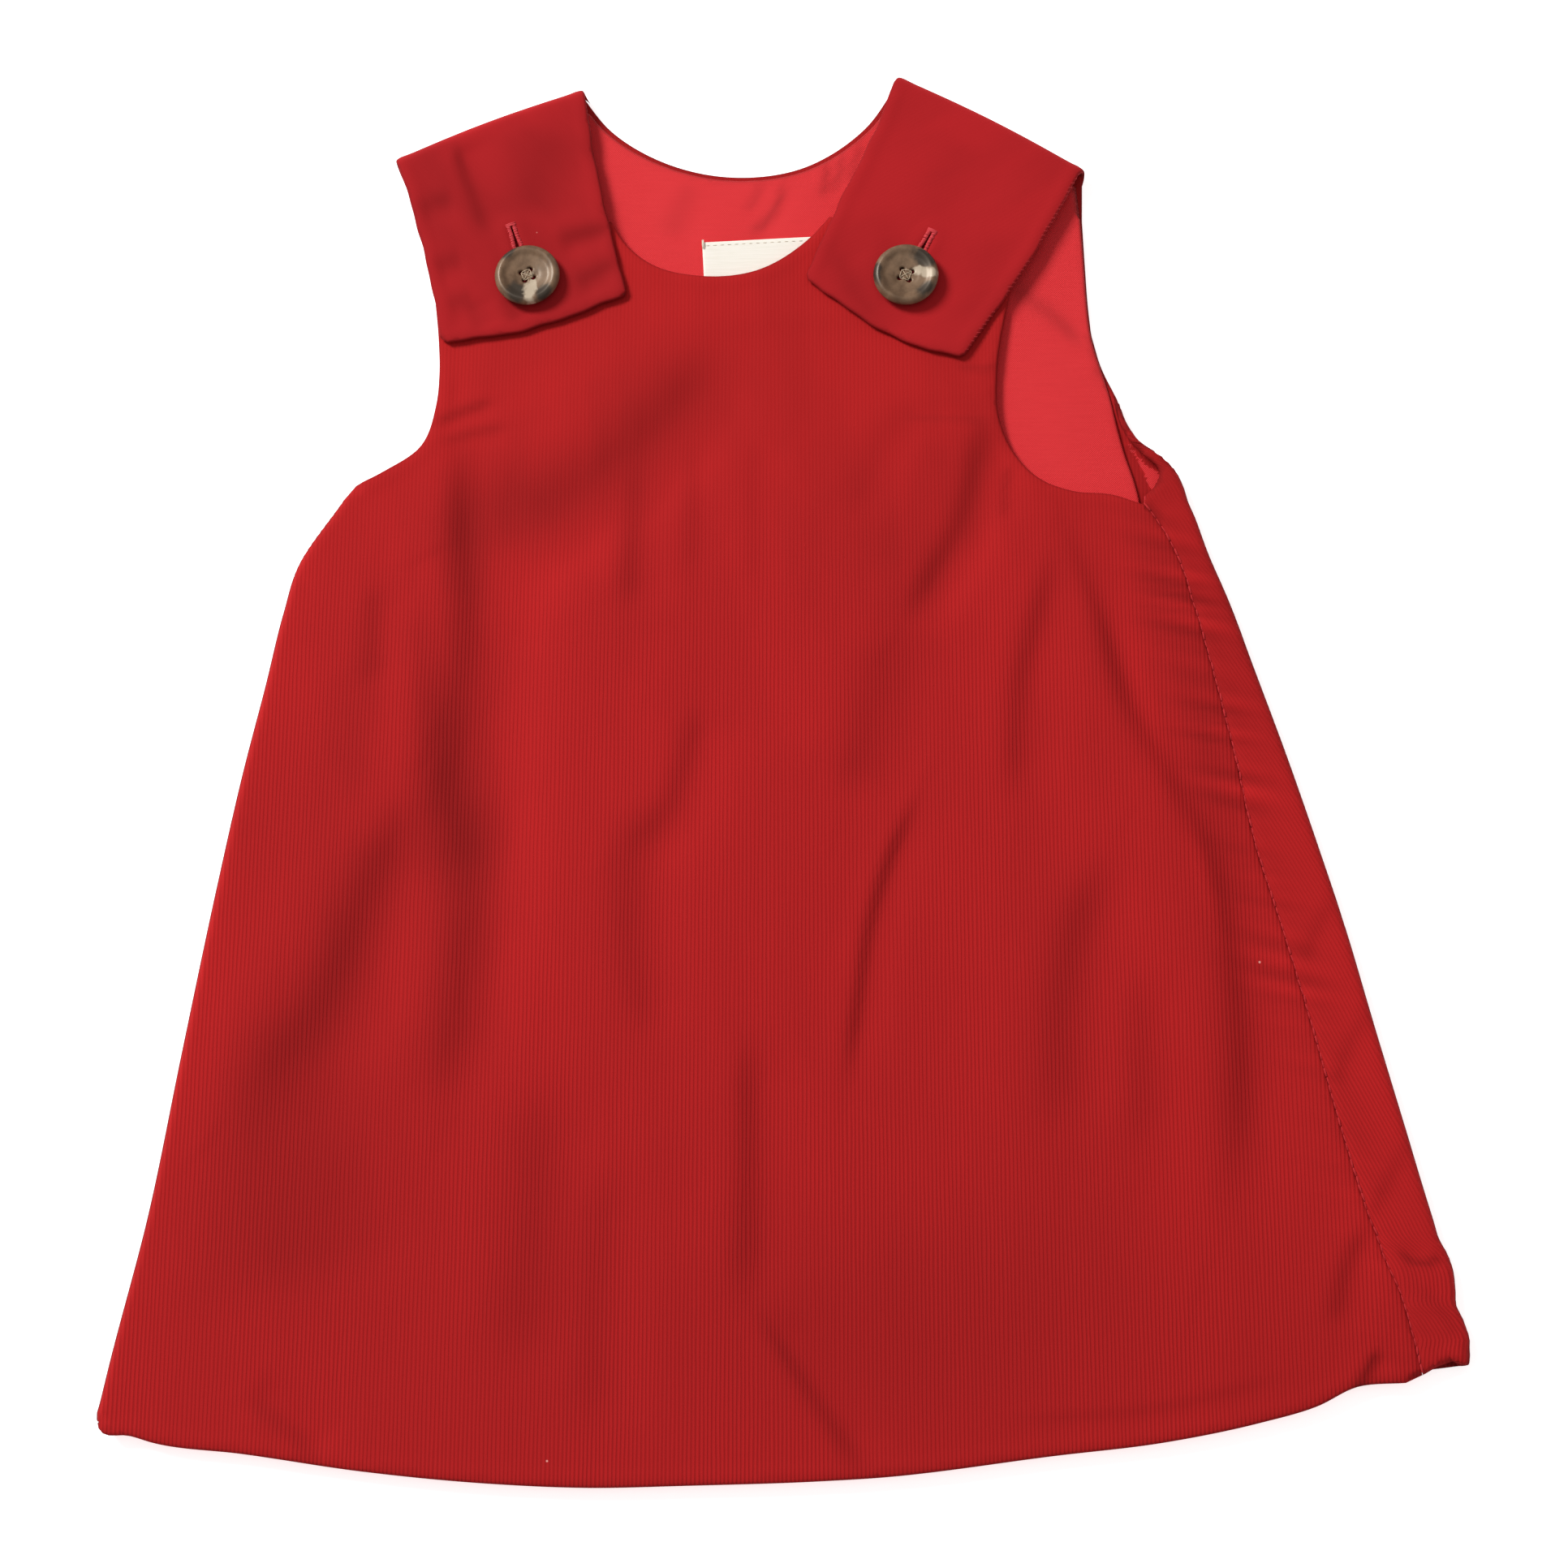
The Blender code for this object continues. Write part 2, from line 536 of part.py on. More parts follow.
def strap_outline(strap, from_inner):
    """Flat outline of a strap past its fold line, from the fold's one corner to its other."""
    corner, along, out, long, radius = strap_frame(strap)
    turned = np.arange(TURN_ROWS + 1) / TURN_ROWS
    steps = math.pi * radius * turned - WALL / 2 - radius
    outer = corner + np.outer(steps, out) - np.outer(strap.spread * (1 - turned), along)
    inner = np.array(strap.inner_corner, float) + np.outer(steps, out)
    loose = np.vstack([outer[-1:], unfold(strap, strap.outer_edge)])
    end = unfold(strap, strap.end)
    back_up = np.vstack([unfold(strap, strap.inner_edge), inner[-1:]])
    stretches = [outer[:-1], curve(loose), curve(end), curve(back_up), inner[:-1][::-1]]
    if from_inner:
        stretches = [np.array(stretch)[::-1] for stretch in stretches[::-1]]
    return np.vstack(stretches)


def strap_points(outline, strap):
    """Rows of points round a strap's fold, and a net over the rest of it."""
    corner, along, out, long, radius = strap_frame(strap)
    sides = stations(0, long)[1:-1]
    rows = math.pi * radius * np.arange(TURN_ROWS + 1) / TURN_ROWS - WALL / 2 - radius
    turn = np.array([corner + along * side + out * row for side in sides for row in rows])
    inner = clearance(outline, turn[:, 0], turn[:, 1]) > CLEAR_OF_EDGE
    loose = rows[-1] + NET_ACROSS / 2

    def on_strap(x, y):
        """Past the fold, and on this strap's side of the neck."""
        past = (x - corner[0]) * out[0] + (y - corner[1]) * out[1] > loose
        return past & ((x - NECK_MIDDLE) * np.sign(corner[0]) > 0)

    return np.vstack([turn[inner], net(outline, NET_ACROSS, NET_ALONG, on_strap)])


def buttonhole(strap):
    """The slit of a buttonhole, flat, from its foot above the button down past the button's middle."""
    foot = np.array(strap.hole_foot)
    along = np.array(strap.button) - foot
    along = along / np.linalg.norm(along)
    across = np.array((-along[1], along[0])) * BUTTONHOLE_WIDE / 2
    far = foot + along * BUTTONHOLE_LONG
    corners = [foot + across, foot - across, far - across, far + across]
    return unfold(strap, corners)


def back(finish, group):
    """The back with both straps, from the left seam to the right seam."""
    seam_y = stations(FRONT_HEM[0][1] + 0.5, LEFT_SEAM_TOP)
    seam_x = left_turn(seam_y)[0] + TURNED_UNDER + SEAM_GAP
    seam = np.column_stack([seam_x, seam_y])[1:]
    hem = curve([(x, y + HEM_SHORTER) for x, y in FRONT_HEM if seam_x[0] + 6 < x < 170])
    right_y = RIGHT_HEM[-1][1]
    hem_start, hem_radius = right_turn(right_y)
    band_hem_x = hem_start + math.pi * hem_radius * np.arange(TURN_ROWS + 1) / TURN_ROWS
    band_low = RIGHT_HEM[0][1] + 0.6
    band_hem = [(x, right_y) for x in band_hem_x] + [(band_hem_x[-1] + 7, right_y - 0.6)]
    band_y = np.concatenate([stations(band_low, SEAM_TOP), stations(SEAM_TOP, CURL_TOP, FINE_STEP)[1:]])
    band_x = right_turn(band_y)[0] + band_reach(band_y)
    right_strap = strap_outline(STRAPS["right"], False)
    left_strap = strap_outline(STRAPS["left"], True)
    outline = loop(
        seam[:1], hem, band_hem, np.column_stack([band_x, band_y]), curve(BACK_ARMHOLE_RIGHT)[1:],
        right_strap, curve(BACK_NECK, FINE_STEP)[1:-1], left_strap, curve(BACK_ARMHOLE_LEFT), seam[::-1])
    turn = turn_points(
        outline, lambda k, y: right_turn(y)[0] + math.pi * right_turn(y)[1] * k / TURN_ROWS,
        stations(right_y + FINE_STEP, CURL_TOP - FINE_STEP))
    points = np.vstack([
        net(outline, FLAT_NET, FLAT_NET, lambda x, y: (x < right_turn(y)[0] - EDGE_STEP) & (y < SHOULDER)),
        turn,
        net(outline, NET_ACROSS, NET_ALONG, lambda x, y: (x > right_turn(y)[0] + EDGE_STEP) & (y < SEAM_TOP)),
        strap_points(outline, STRAPS["right"]),
        strap_points(outline, STRAPS["left"]),
    ])
    slits = [buttonhole(strap) for strap in STRAPS.values()]
    return cloth("back", outline, points, lay_back, WALL, finish, group, slits)


def inset(points, distance):
    """A stretch of outline moved in, to the left of its way round."""
    way = np.gradient(points, axis=0)
    way /= np.linalg.norm(way, axis=1)[:, None]
    return points + distance * np.column_stack([-way[:, 1], way[:, 0]])


def lining_back(finish, group):
    """The back lining, from the neck to just under the arms."""
    neck = inset(curve(BACK_NECK, FINE_STEP), EDGE_ROLL)
    arm = inset(curve(BACK_ARMHOLE_LEFT), EDGE_ROLL)
    corners = []
    for strap in (STRAPS["right"], STRAPS["left"]):
        corner, along, out, long, radius = strap_frame(strap)
        drop = out * (WALL / 2 + radius + EDGE_ROLL)
        outer = corner + along * (EDGE_ROLL - strap.spread) - drop
        corners.append((outer, corner + along * (long - EDGE_ROLL) - drop))
    (right_outer, right_inner), (left_outer, left_inner) = corners
    neck = neck[(neck[:, 0] > left_inner[0] + EDGE_ROLL) & (neck[:, 0] < right_inner[0] - EDGE_ROLL)]
    low = curve([(LINING_LEFT, LINING_HEM), (0, LINING_HEM), LINING_RIGHT[0]], FLAT_NET)
    outline = loop(
        low, curve(LINING_RIGHT)[1:], [right_outer, right_inner], neck, [left_inner, left_outer], arm[1:])
    return cloth(
        "lining_back", outline, net(outline, FLAT_NET, FLAT_NET), lay_lining, LINING_WALL, finish, group)


def label(finish, group):
    """The woven label, sewn to the lining at the back neck."""
    turn = np.array((math.cos(LABEL_TURN), math.sin(LABEL_TURN)))
    down = np.array((turn[1], -turn[0]))
    corner = np.array(LABEL_CORNER)
    outline = loop([corner, corner + LABEL_TALL * down, corner + LABEL_WIDE * turn + LABEL_TALL * down,
                    corner + LABEL_WIDE * turn])
    return cloth("label", outline, net(outline, NET_ACROSS, NET_ACROSS), lay_label, LABEL_WALL, finish, group)


def button(side, finish, group, cutters):
    """A turned button with a rounded rim, a dished middle and four holes, lying on its strap."""
    strap = STRAPS[side]
    mesh = bpy.data.meshes.new(f"button_{side}")
    shape = bmesh.new()
    points = [shape.verts.new((r * MM, 0, z * MM)) for r, z in BUTTON_PROFILE]
    for a, b in zip(points, points[1:]):
        shape.edges.new((a, b))
    shape.to_mesh(mesh)
    shape.free()
    mesh.materials.append(finish)
    piece = bpy.data.objects.new(f"button_{side}", mesh)
    group.objects.link(piece)

    around = [(strap.button[0] + r * math.cos(a), strap.button[1] + r * math.sin(a))
              for r in (0, BUTTON_RADIUS / 2, BUTTON_RADIUS) for a in np.arange(0, 2 * math.pi, math.pi / 6)]
    rest = max(float(strap_height(x, y)) for x, y in around) + WALL / 2 + SEAM_GAP
    piece.location = Vector((strap.button[0], strap.button[1], rest)) * MM

    turned = piece.modifiers.new("turned", "SCREW")
    turned.steps = turned.render_steps = 28
    turned.use_merge_vertices = True
    turned.merge_threshold = 0.00001
    turned.use_normal_calculate = True
    for number in range(4):
        quarter = Matrix.Rotation(math.pi / 2 * number + BUTTON_HOLE_TURN, 4, "Z")
        hole = bmesh.new()
        bmesh.ops.create_cone(
            hole, cap_ends=True, segments=10, radius1=BUTTON_HOLE_RADIUS * MM,
            radius2=BUTTON_HOLE_RADIUS * MM, depth=BUTTON_RADIUS * MM)
        offset = quarter @ Vector((BUTTON_HOLE_CIRCLE * MM, 0, 0))
        bmesh.ops.translate(hole, verts=hole.verts, vec=offset)
        hole_mesh = bpy.data.meshes.new(f"button_hole_{side}_{number}")
        hole.to_mesh(hole_mesh)
        hole.free()
        cutter = bpy.data.objects.new(hole_mesh.name, hole_mesh)
        cutters.objects.link(cutter)
        cutter.location = piece.location
        cutter.hide_render = True
        cutter.display_type = "WIRE"
        cut = piece.modifiers.new(f"hole {number}", "BOOLEAN")
        cut.operation = "DIFFERENCE"
        cut.solver = "EXACT"
        cut.object = cutter
    return piece


def main():
    for old in list(bpy.data.objects):
        bpy.data.objects.remove(old)
    group = collection("pinafore_dress")
    cutters = collection("cutters", hidden=True)
    cord = material("red needlecord", (0.41, 0.018, 0.018), 0.85)
    poplin = material("bright red poplin", (0.72, 0.035, 0.045), 0.75)
    woven = material("cream woven label", (0.92, 0.87, 0.78), 0.7)
    horn = material("horn-look button", (0.24, 0.16, 0.10), 0.3)
    front(cord, group)
    back(cord, group)
    lining_back(poplin, group)
    label(woven, group)
    for side in STRAPS:
        button(side, horn, group, cutters)


main()
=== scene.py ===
"""Looks of a toddler's pinafore dress of red needlecord, laid flat on a pale floor with its front up.

Every cloth piece is a thin shell on its solid's form, with finer folds, puckers and a rounded edge.
Patterns are drawn flat in millimetres, as a maker would draw them, and laid in the same way as the solids.
"""
import math
from collections import namedtuple

import bmesh
import bpy
import numpy as np
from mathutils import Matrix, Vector
from mathutils.geometry import delaunay_2d_cdt


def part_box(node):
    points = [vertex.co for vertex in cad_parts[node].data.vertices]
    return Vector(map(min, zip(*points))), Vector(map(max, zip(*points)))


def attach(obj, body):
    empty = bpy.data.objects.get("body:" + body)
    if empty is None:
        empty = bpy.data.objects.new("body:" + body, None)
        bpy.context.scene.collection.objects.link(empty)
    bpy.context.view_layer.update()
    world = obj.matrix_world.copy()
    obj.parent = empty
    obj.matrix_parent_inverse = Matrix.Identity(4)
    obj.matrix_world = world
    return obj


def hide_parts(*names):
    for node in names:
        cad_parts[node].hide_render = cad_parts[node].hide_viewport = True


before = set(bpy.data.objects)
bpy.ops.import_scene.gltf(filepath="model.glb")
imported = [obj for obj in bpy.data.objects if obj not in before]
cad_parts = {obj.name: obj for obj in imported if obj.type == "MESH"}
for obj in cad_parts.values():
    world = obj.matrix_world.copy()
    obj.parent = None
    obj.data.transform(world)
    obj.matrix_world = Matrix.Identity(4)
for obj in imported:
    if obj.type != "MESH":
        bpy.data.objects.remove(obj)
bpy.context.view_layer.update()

# Sizes in millimetres.
MM = 0.001
WALL = 1.4                 # cord and its seam allowances
LINING_WALL = 0.5
LABEL_WALL = 0.4
SEAM_GAP = 0.3
FLOOR_LAYER = WALL / 2     # middle of the cloth that lies on the floor
LINING_LAYER = 2.15
LABEL_LAYER = 3.4
FRONT_REST = 4.9           # middle of the front above the floor, before its folds
SKIRT_LOWEST = 2.5         # lowest that it lies on the back, on the lining and on the label
BODICE_LOWEST = 3.5
OVER_LABEL = 5.2
STRAP_BED = 4.45           # middle of the front under the straps
MOST_PAINTED_LIGHT = -0.6       # range of the painted light and painted shade kept in the attribute "pile"
MOST_PAINTED_SHADE = 2.0
STRAP_RISE = 2.0           # from the front's middle to the strap's middle
FOLD_LEFT_AT_SIDES = 0.35  # share of a crease that is left beside the side folds
TURNED_UNDER = 17.0        # from the left fold to its seam, under the dress
HEM_SHORTER = 2.5          # of the back than of the front
LINING_HEM = 52.0          # lower edge of the lining that is built
LINING_LEFT = -134.0
EDGE_ROLL = 2.0            # from the back's edge to the lining's
BUTTONHOLE_LONG = 21.0
BUTTONHOLE_WIDE = 0.6
LABEL_WIDE = 50.0
LABEL_TALL = 24.0
LABEL_CORNER = (-26.4, 167.4)
LABEL_TURN = math.radians(3)
NECK_MIDDLE = -14.0
SHOULDER = 172.0

WALE_PITCH = 1.2
NAP_PATCH = 0.02           # how many patches of nap to a mm

FINE = 2.0                 # spacing of the points of a shell that is seen from above
COARSE = 6.0               # and of one that lies face down
TURN_ROWS = 12             # steps round a turned fold
ROUNDING = (0.12, 0.4, 0.9)  # rows along a piece's edge, where its wall rounds off
RIM = ROUNDING[-1]
CDT_NEAR = 1e-4            # points nearer to each other than this are one

Left = namedtuple("Left", "y fold")
LEFT_SIDE = [Left(*row) for row in (
    (-212, -201.1), (-191, -197.2), (-148, -188.3), (-99, -180.8), (-48, -172.8),
    (-10, -166.2), (17, -160.7), (41, -156.1), (57, -151.9), (73, -142.2),
    (84, -134.5), (92, -127.1),
)]
Right = namedtuple("Right", "y fold band")
RIGHT_SIDE = [Right(*row) for row in (
    (-196, 200.1, 13.5), (-187, 200.4, 15.6), (-183, 200.7, 16.6), (-180, 199.9, 16.6),
    (-177.4, 199.1, 16.3), (-174, 197.5, 15.6), (-169, 197.4, 16.8), (-163, 197.0, 18.9),
    (-158, 195.4, 19.2), (-155, 193.8, 18.4), (-148, 191.9, 18.9), (-121, 185.2, 19.4),
    (-86, 176.6, 18.9), (-61, 170.6, 19.2),
    (-33, 162.9, 19.0), (-5, 154.7, 16.0), (24.5, 145.4, 13.1), (43, 139.6, 11.7),
    (62, 132.6, 10.5), (73, 129.2, 13.0), (78, 127.3, 14.4), (83, 126.0, 9.2),
    (89, 123.0, 5.0), (93.5, 118.6, 5.2), (97.6, 113.0, 3.2), (102, 109.9, 2.4),
    (111.5, 106.0, 1.0), (122.7, 102.0, -0.9), (135.5, 98.5, -0.9),
)]
SEAM_TOP = 78.0
CURL_FADES = (104.0, 122.0)  # heights between which the armhole's rolled edge flattens
CURL_TOP = 135.5
LEFT_SEAM_TOP = 80.0
FRONT_HEM = (
    (-200.0, -207.5), (-197.5, -210.5), (-190, -211.2), (-183, -213.2), (-157, -216.4), (-122, -221.4),
    (-86, -224.8), (-58, -226.0), (-27, -225.4), (8, -224.3), (27, -223.2), (79, -216.9), (110, -213.2),
    (138, -207.6), (155, -202.8), (167, -197.2), (181, -196.1),
)
RIGHT_HEM = ((186.9, -194.4), (192, -190.6), (198.3, -190.8))
FRONT_ARMHOLE_RIGHT = (
    (112.4, 76.8), (103.5, 79.9), (90.7, 81.3), (80.5, 85.4), (73.0, 93.7), (68.1, 106.2), (67.8, 121.5),
    (71.4, 144.0), (74.0, 156.0), (74.5, 169.0),
)
FRONT_TAB_RIGHT = ((74.5, 169.0), (45, 175.2), (14.6, 175.4))
FRONT_NECK = (
    (14.6, 175.4), (8.8, 168.6), (-9.6, 156.4), (-25.3, 154.6), (-43.6, 159.6), (-52.1, 167.7),
    (-55.6, 174.0),
)
FRONT_TAB_LEFT = ((-55.6, 174.0), (-85, 174.5), (-113.0, 168.0))
FRONT_ARMHOLE_LEFT = (
    (-113.0, 168.0), (-112.0, 149.7), (-110.2, 132.7), (-109.6, 121.5), (-110.3, 110.3), (-114.7, 96.4),
    (-126.2, 87.8), (-134.6, 83.1),
)
BACK_ARMHOLE_RIGHT = ((98.5, 135.5), (97.6, 147), (97.1, 159), (96.5, 176))
BACK_NECK = (
    (37.5, 225.9), (26.4, 209.1), (5.6, 194.8), (-18.9, 191.8), (-39.4, 197.1), (-57.2, 209.0),
    (-66.2, 221.0),
)
BACK_ARMHOLE_LEFT = (
    (-120, 182), (-113.5, 168), (-109.5, 151), (-107.5, 134), (-107.5, 118), (-111, 101), (-119.5, 84),
)
LINING_RIGHT = (
    (109, 52), (111.9, 78.7), (110.4, 86.1), (108.2, 93.2), (105.7, 103.7), (103.7, 113.7), (102.1, 119.5),
    (98.0, 135.5), (97.0, 147), (96.5, 159), (95.7, 176),
)
UNDERARM_FACING = (
    (107.6, 101.5), (114.1, 91.6), (118.9, 88.2), (121, 82), (116.3, 79), (115.4, 84), (112.3, 92.4),
)
BULGE_REACH = 25.0         # how far below a strap's fold its edges still bulge
Strap = namedtuple(
    "Strap", "outer_corner inner_corner bulge spread outer_edge end inner_edge button hole_foot")
STRAPS = {
    "left": Strap(
        outer_corner=(-126.1, 196.0), inner_corner=(-66.2, 221.0), bulge=1.2, spread=(0.0, 1.5),
        outer_edge=((-121.7, 183.7), (-116.7, 166.3), (-112.5, 149.2), (-109.4, 132.4)),
        end=((-107.0, 130.9), (-82.4, 135.1), (-50.8, 147.0)),
        inner_edge=((-50.4, 148.8), (-55.6, 169.3), (-61.2, 195.3)),
        button=(-82.0, 153.1), hole_foot=(-87.9, 171.7)),
    "right": Strap(
        outer_corner=(96.9, 192.6), inner_corner=(37.5, 225.9), bulge=1.2, spread=(2.0, 0.0),
        outer_edge=((79.6, 160.6), (57.6, 126.9)),
        end=((55.6, 126.0), (37.3, 131.7), (24.4, 139.3), (7.6, 152.3)),
        inner_edge=((7.2, 154.5), (19.4, 183.6), (30.1, 207.0)),
        button=(38.9, 153.0), hole_foot=(47.7, 169.5)),
}

# Creases. Across each path the cloth falls to the right by drop, within reach to either side, and climbs back
# over recover. Reach is given at the path's start and end. Shade is how much painted shade darkens the
# cloth's colour there.
Crease = namedtuple("Crease", "path reach drop recover shade")
CREASES = [Crease(*row) for row in (
    (((-105, 107), (-103, 85), (-101, 62), (-99, 40), (-100, 15), (-102, -10), (-99, -60)),
     (4, 11), 2.1, 18, 0.62),
    (((-116, 48), (-112, 20), (-108, -4), (-105, -32)), (4, 6), 0.5, 8, 0.3),
    (((-99, -14), (-97, -44), (-98, -70), (-100, -95), (-103, -118)), (9, 6), 1.3, 12, 0.42),
    (((-114, -14), (-126, -45), (-136, -75), (-149, -98), (-165, -118)), (6, 10), 1.7, 18, 0.6),
    (((-152, -100), (-151, -140), (-146, -178)), (16, 20), 1.0, 25, 0.25),
    (((-128, 52), (-128, 14)), (3, 4), 0.5, 8, 0.3),
    (((-22, 136), (-38, 108), (-52, 94), (-74, 78), (-98, 66)), (8, 14), 1.8, 15, 0.5),
    (((-46, 94), (-48, 70), (-49, 38)), (3, 4), 0.7, 8, 0.35),
    (((-29, 102), (-29, 50)), (2.5, 2.5), 0.3, 8, 0.15),
    (((-10, 104), (-10, 46)), (3, 3), 0.3, 8, 0.12),
    (((-27, 14), (-30, -5), (-36, -22), (-50, -37)), (3, 5), 0.8, 10, 0.3),
    (((-46, -18), (-47, -55), (-41, -100)), (6, 5), 0.8, 12, 0.3),
    (((-74, -102), (-75, -150), (-78, -198)), (8, 10), 0.9, 14, 0.3),
    (((-52, -126), (-56, -170), (-57, -216)), (5, 6), 0.7, 12, 0.25),
    (((-12, -88), (-11, -130), (-12, -178)), (3, 5), 1.1, 15, 0.35),
    (((-158, -200), (-147, -207), (-133, -220)), (2.5, 3), 0.8, 8, 0.35),
    (((-9, -174), (4, -194), (25, -225)), (2, 3), 1.0, 9, 0.4),
    (((64, 110), (60, 88), (54, 68), (45, 52), (36, 36)), (4, 4), 1.5, 9, 0.6),
    (((52, 106), (44, 75), (33, 48)), (8, 8), 0.6, 10, 0.25),
    (((42, 114), (28, 94), (20, 70)), (5, 5), 0.4, 8, 0.2),
    (((33, 38), (26, 5), (18, -22)), (7, 9), 0.9, 14, 0.3),
    (((85, 66), (79, 42), (73, 20), (71, 0), (70, -26)), (3, 4), 0.9, 10, 0.35),
    (((84, 80), (97, 42), (107, 8), (119, -15), (129.5, -38), (134, -65), (136, -95), (134, -128),
      (125, -158)), (2.5, 6), 1.8, 18, 0.42),
    (((43, -14), (32, -38), (26, -58), (22, -82), (18, -112)), (1.6, 2), 1.1, 8, 0.5),
    (((100, -34), (90, -55), (84, -80), (82, -128)), (5, 7), 0.9, 12, 0.35),
    (((107, -70), (105, -132)), (4, 4), 0.4, 10, 0.12),
    (((172, -148), (164, -165), (160, -182)), (2, 3), 0.6, 8, 0.4),
    (((180, -157), (184, -160.8), (188, -161.8), (194, -158)), (1.1, 1.1), 0.6, 5, 1.0),
    (((174, -186), (169.5, -193), (166, -199)), (1.2, 1.4), 0.7, 5, 1.1),
    (((186, -168), (193, -176), (197, -184)), (2, 2), 0.4, 6, 0.35),
    (((-112, 103), (-102, 108), (-91, 112)), (1.4, 1.4), 0.5, 4, 0.45),
    (((-110, 97), (-98, 101), (-86, 103)), (1.4, 1.4), 0.3, 4, 0.3),
    (((36, 106), (67, 104.5)), (1.4, 1.4), 0.3, 4, 0.35),
    (((113, 77.5), (116, 74), (119, 71)), (1.2, 1.2), 0.6, 4, 0.5),
    (((69, 124), (62, 122), (54, 125)), (1.3, 1.3), 0.3, 4, 0.4),
    (((72, 92), (70, 84), (69, 70)), (1.3, 1.6), 0.35, 5, 0.4),
    (((176, -40), (160, -62), (156, -74)), (2, 2), 0.4, 6, 0.25),
    (((182, -78), (168, -98), (164, -112)), (2, 2), 0.4, 6, 0.25),
    (((190, -118), (178, -138), (172, -150)), (2, 2), 0.4, 6, 0.25),
    (((62, -207), (110, -203), (150, -193)), (1.5, 1.5), 0.25, 6, 0.15),
)]
# Creases of the straps, as they lie on the front.
STRAP_CREASES = [Crease(*row) for row in (
    (((-107.5, 205), (-104.5, 192), (-100, 180), (-95, 166)), (1.2, 3), 0.9, 9, 0.5),
    (((-72, 208), (-80, 190), (-84, 172)), (9, 8), 0.8, 12, 0.4),
    (((-74, 166), (-62, 170), (-55, 171)), (3, 2), 0.8, 5, 0.45),
    (((-68, 150), (-60, 156), (-53, 159)), (3, 2), 0.6, 5, 0.4),
    (((-119, 178), (-106, 182)), (3, 3), 0.5, 6, 0.35),
    (((-113, 157), (-103, 161)), (3, 3), 0.5, 6, 0.35),
    (((-108, 143), (-99, 147)), (3, 3), 0.5, 6, 0.35),
    (((-90, 148), (-85, 137)), (2, 3), 0.5, 6, 0.35),
    (((-100, 146), (-97, 134)), (2, 3), 0.4, 6, 0.3),
    (((14, 164), (24, 146), (30, 136)), (3, 4), 0.5, 8, 0.3),
    (((60, 204), (52, 186), (56, 172)), (10, 10), 0.5, 14, 0.25),
    (((72, 172), (62, 150), (54, 134)), (5, 5), 0.3, 10, 0.15),
)]
# Creases of the back lining.
LINING_CREASES = [Crease(*row) for row in (
    (((68, 154), (84, 144), (97, 130)), (3, 2), 0.5, 9, 0.5),
    (((0, 190), (-1, 184), (-5, 176), (-12, 170)), (0.8, 1.6), 0.35, 4, 0.55),
    (((-7, 190), (-9, 184), (-13, 178)), (1, 1.6), 0.25, 4, 0.3),
    (((14, 197), (13.5, 190), (12, 183)), (0.9, 1.4), 0.35, 4, 0.5),
    (((19, 200), (18, 192), (15, 184)), (0.9, 1.3), 0.3, 4, 0.5),
    (((25, 205), (23.5, 197), (20, 188)), (1, 1.6), 0.3, 4, 0.4),
    (((97, 137), (100, 128), (101, 118)), (1.2, 1.6), 0.3, 5, 0.35),
    (((80, 172), (76, 160), (76, 148)), (2, 3), 0.3, 6, 0.25),
    (((-30, 190), (-33, 180), (-38, 168)), (3, 4), 0.3, 8, 0.2),
)]
# Soft patches of painted shade, or of painted light where the last number is less than zero: middle, half
# width, half height and turn in degrees.
Patch = namedtuple("Patch", "x y wide tall turn shade")
PATCHES = [Patch(*row) for row in (
    (30, -178, 62, 30, 5, 0.28), (-142, -142, 36, 36, 0, 0.28), (-84, 76, 22, 15, 20, 0.35),
    (125, 28, 9, 46, 14, 0.55), (142, 46, 8, 34, 14, 0.35), (20, 50, 26, 40, 0, 0.19),
    (-70, 122, 24, 8, 32, -0.25), (-72, -20, 14, 90, 0, -0.2), (-170, -60, 14, 90, -10, -0.2),
    (55, -80, 20, 60, 0, -0.12), (112, -60, 9, 60, 8, -0.2), (-35, 55, 14, 30, 0, 0.04),
    (2, -20, 30, 60, 0, -0.08), (150, -120, 14, 60, 12, -0.15), (176, -100, 9, 90, 14, -0.45),
    (-138, -20, 12, 50, -8, 0.3), (120, 92, 10, 14, 0, 0.5),
    (90, -28, 12, 22, 8, -0.25), (118, -142, 16, 26, 0, -0.25), (172, -151, 9, 20, 12, -0.35),
    (-160, -30, 9, 40, -8, 0.32), (199.4, -187.5, 1.8, 4, 0, 0.5), (176, -196, 10, 4, 0, 0.2),
    (134, -26, 8, 32, 14, 0.35), (111, 8, 4.5, 32, 12, -0.35), (127, -44, 2.4, 22, 12, -0.35),
    (-30, 114, 34, 24, 0, 0.2), (-100, -47, 14, 30, -10, 0.12), (-136, -95, 28, 28, 0, 0.12),
)]
STRAP_PATCHES = [Patch(*row) for row in (
    (-113, 183, 8, 22, 14, 0.3), (-82, 178, 30, 30, 0, 0.15), (56, 186, 34, 40, 0, -0.45),
    (45, 140, 30, 16, 0, -0.35), (-92, 212, 30, 8, 22, -0.3),
)]


# Smooth lines through the rows of a table.
def hermite(knots, values, at):
    """Values at the places asked for, on a smooth curve through the knots."""
    slopes = np.gradient(values, knots)
    i = np.clip(np.searchsorted(knots, at) - 1, 0, len(knots) - 2)
    span = knots[i + 1] - knots[i]
    t = np.clip((at - knots[i]) / span, 0, 1)
    start = (1 + 2 * t) * (1 - t) ** 2 * values[i] + t * (1 - t) ** 2 * span * slopes[i]
    end = t * t * (3 - 2 * t) * values[i + 1] + t * t * (t - 1) * span * slopes[i + 1]
    return start + end


def column(rows, name, y):
    """A column of a side's table at height y."""
    knots = np.array([row.y for row in rows], float)
    values = np.array([getattr(row, name) for row in rows], float)
    return hermite(knots, values, y)


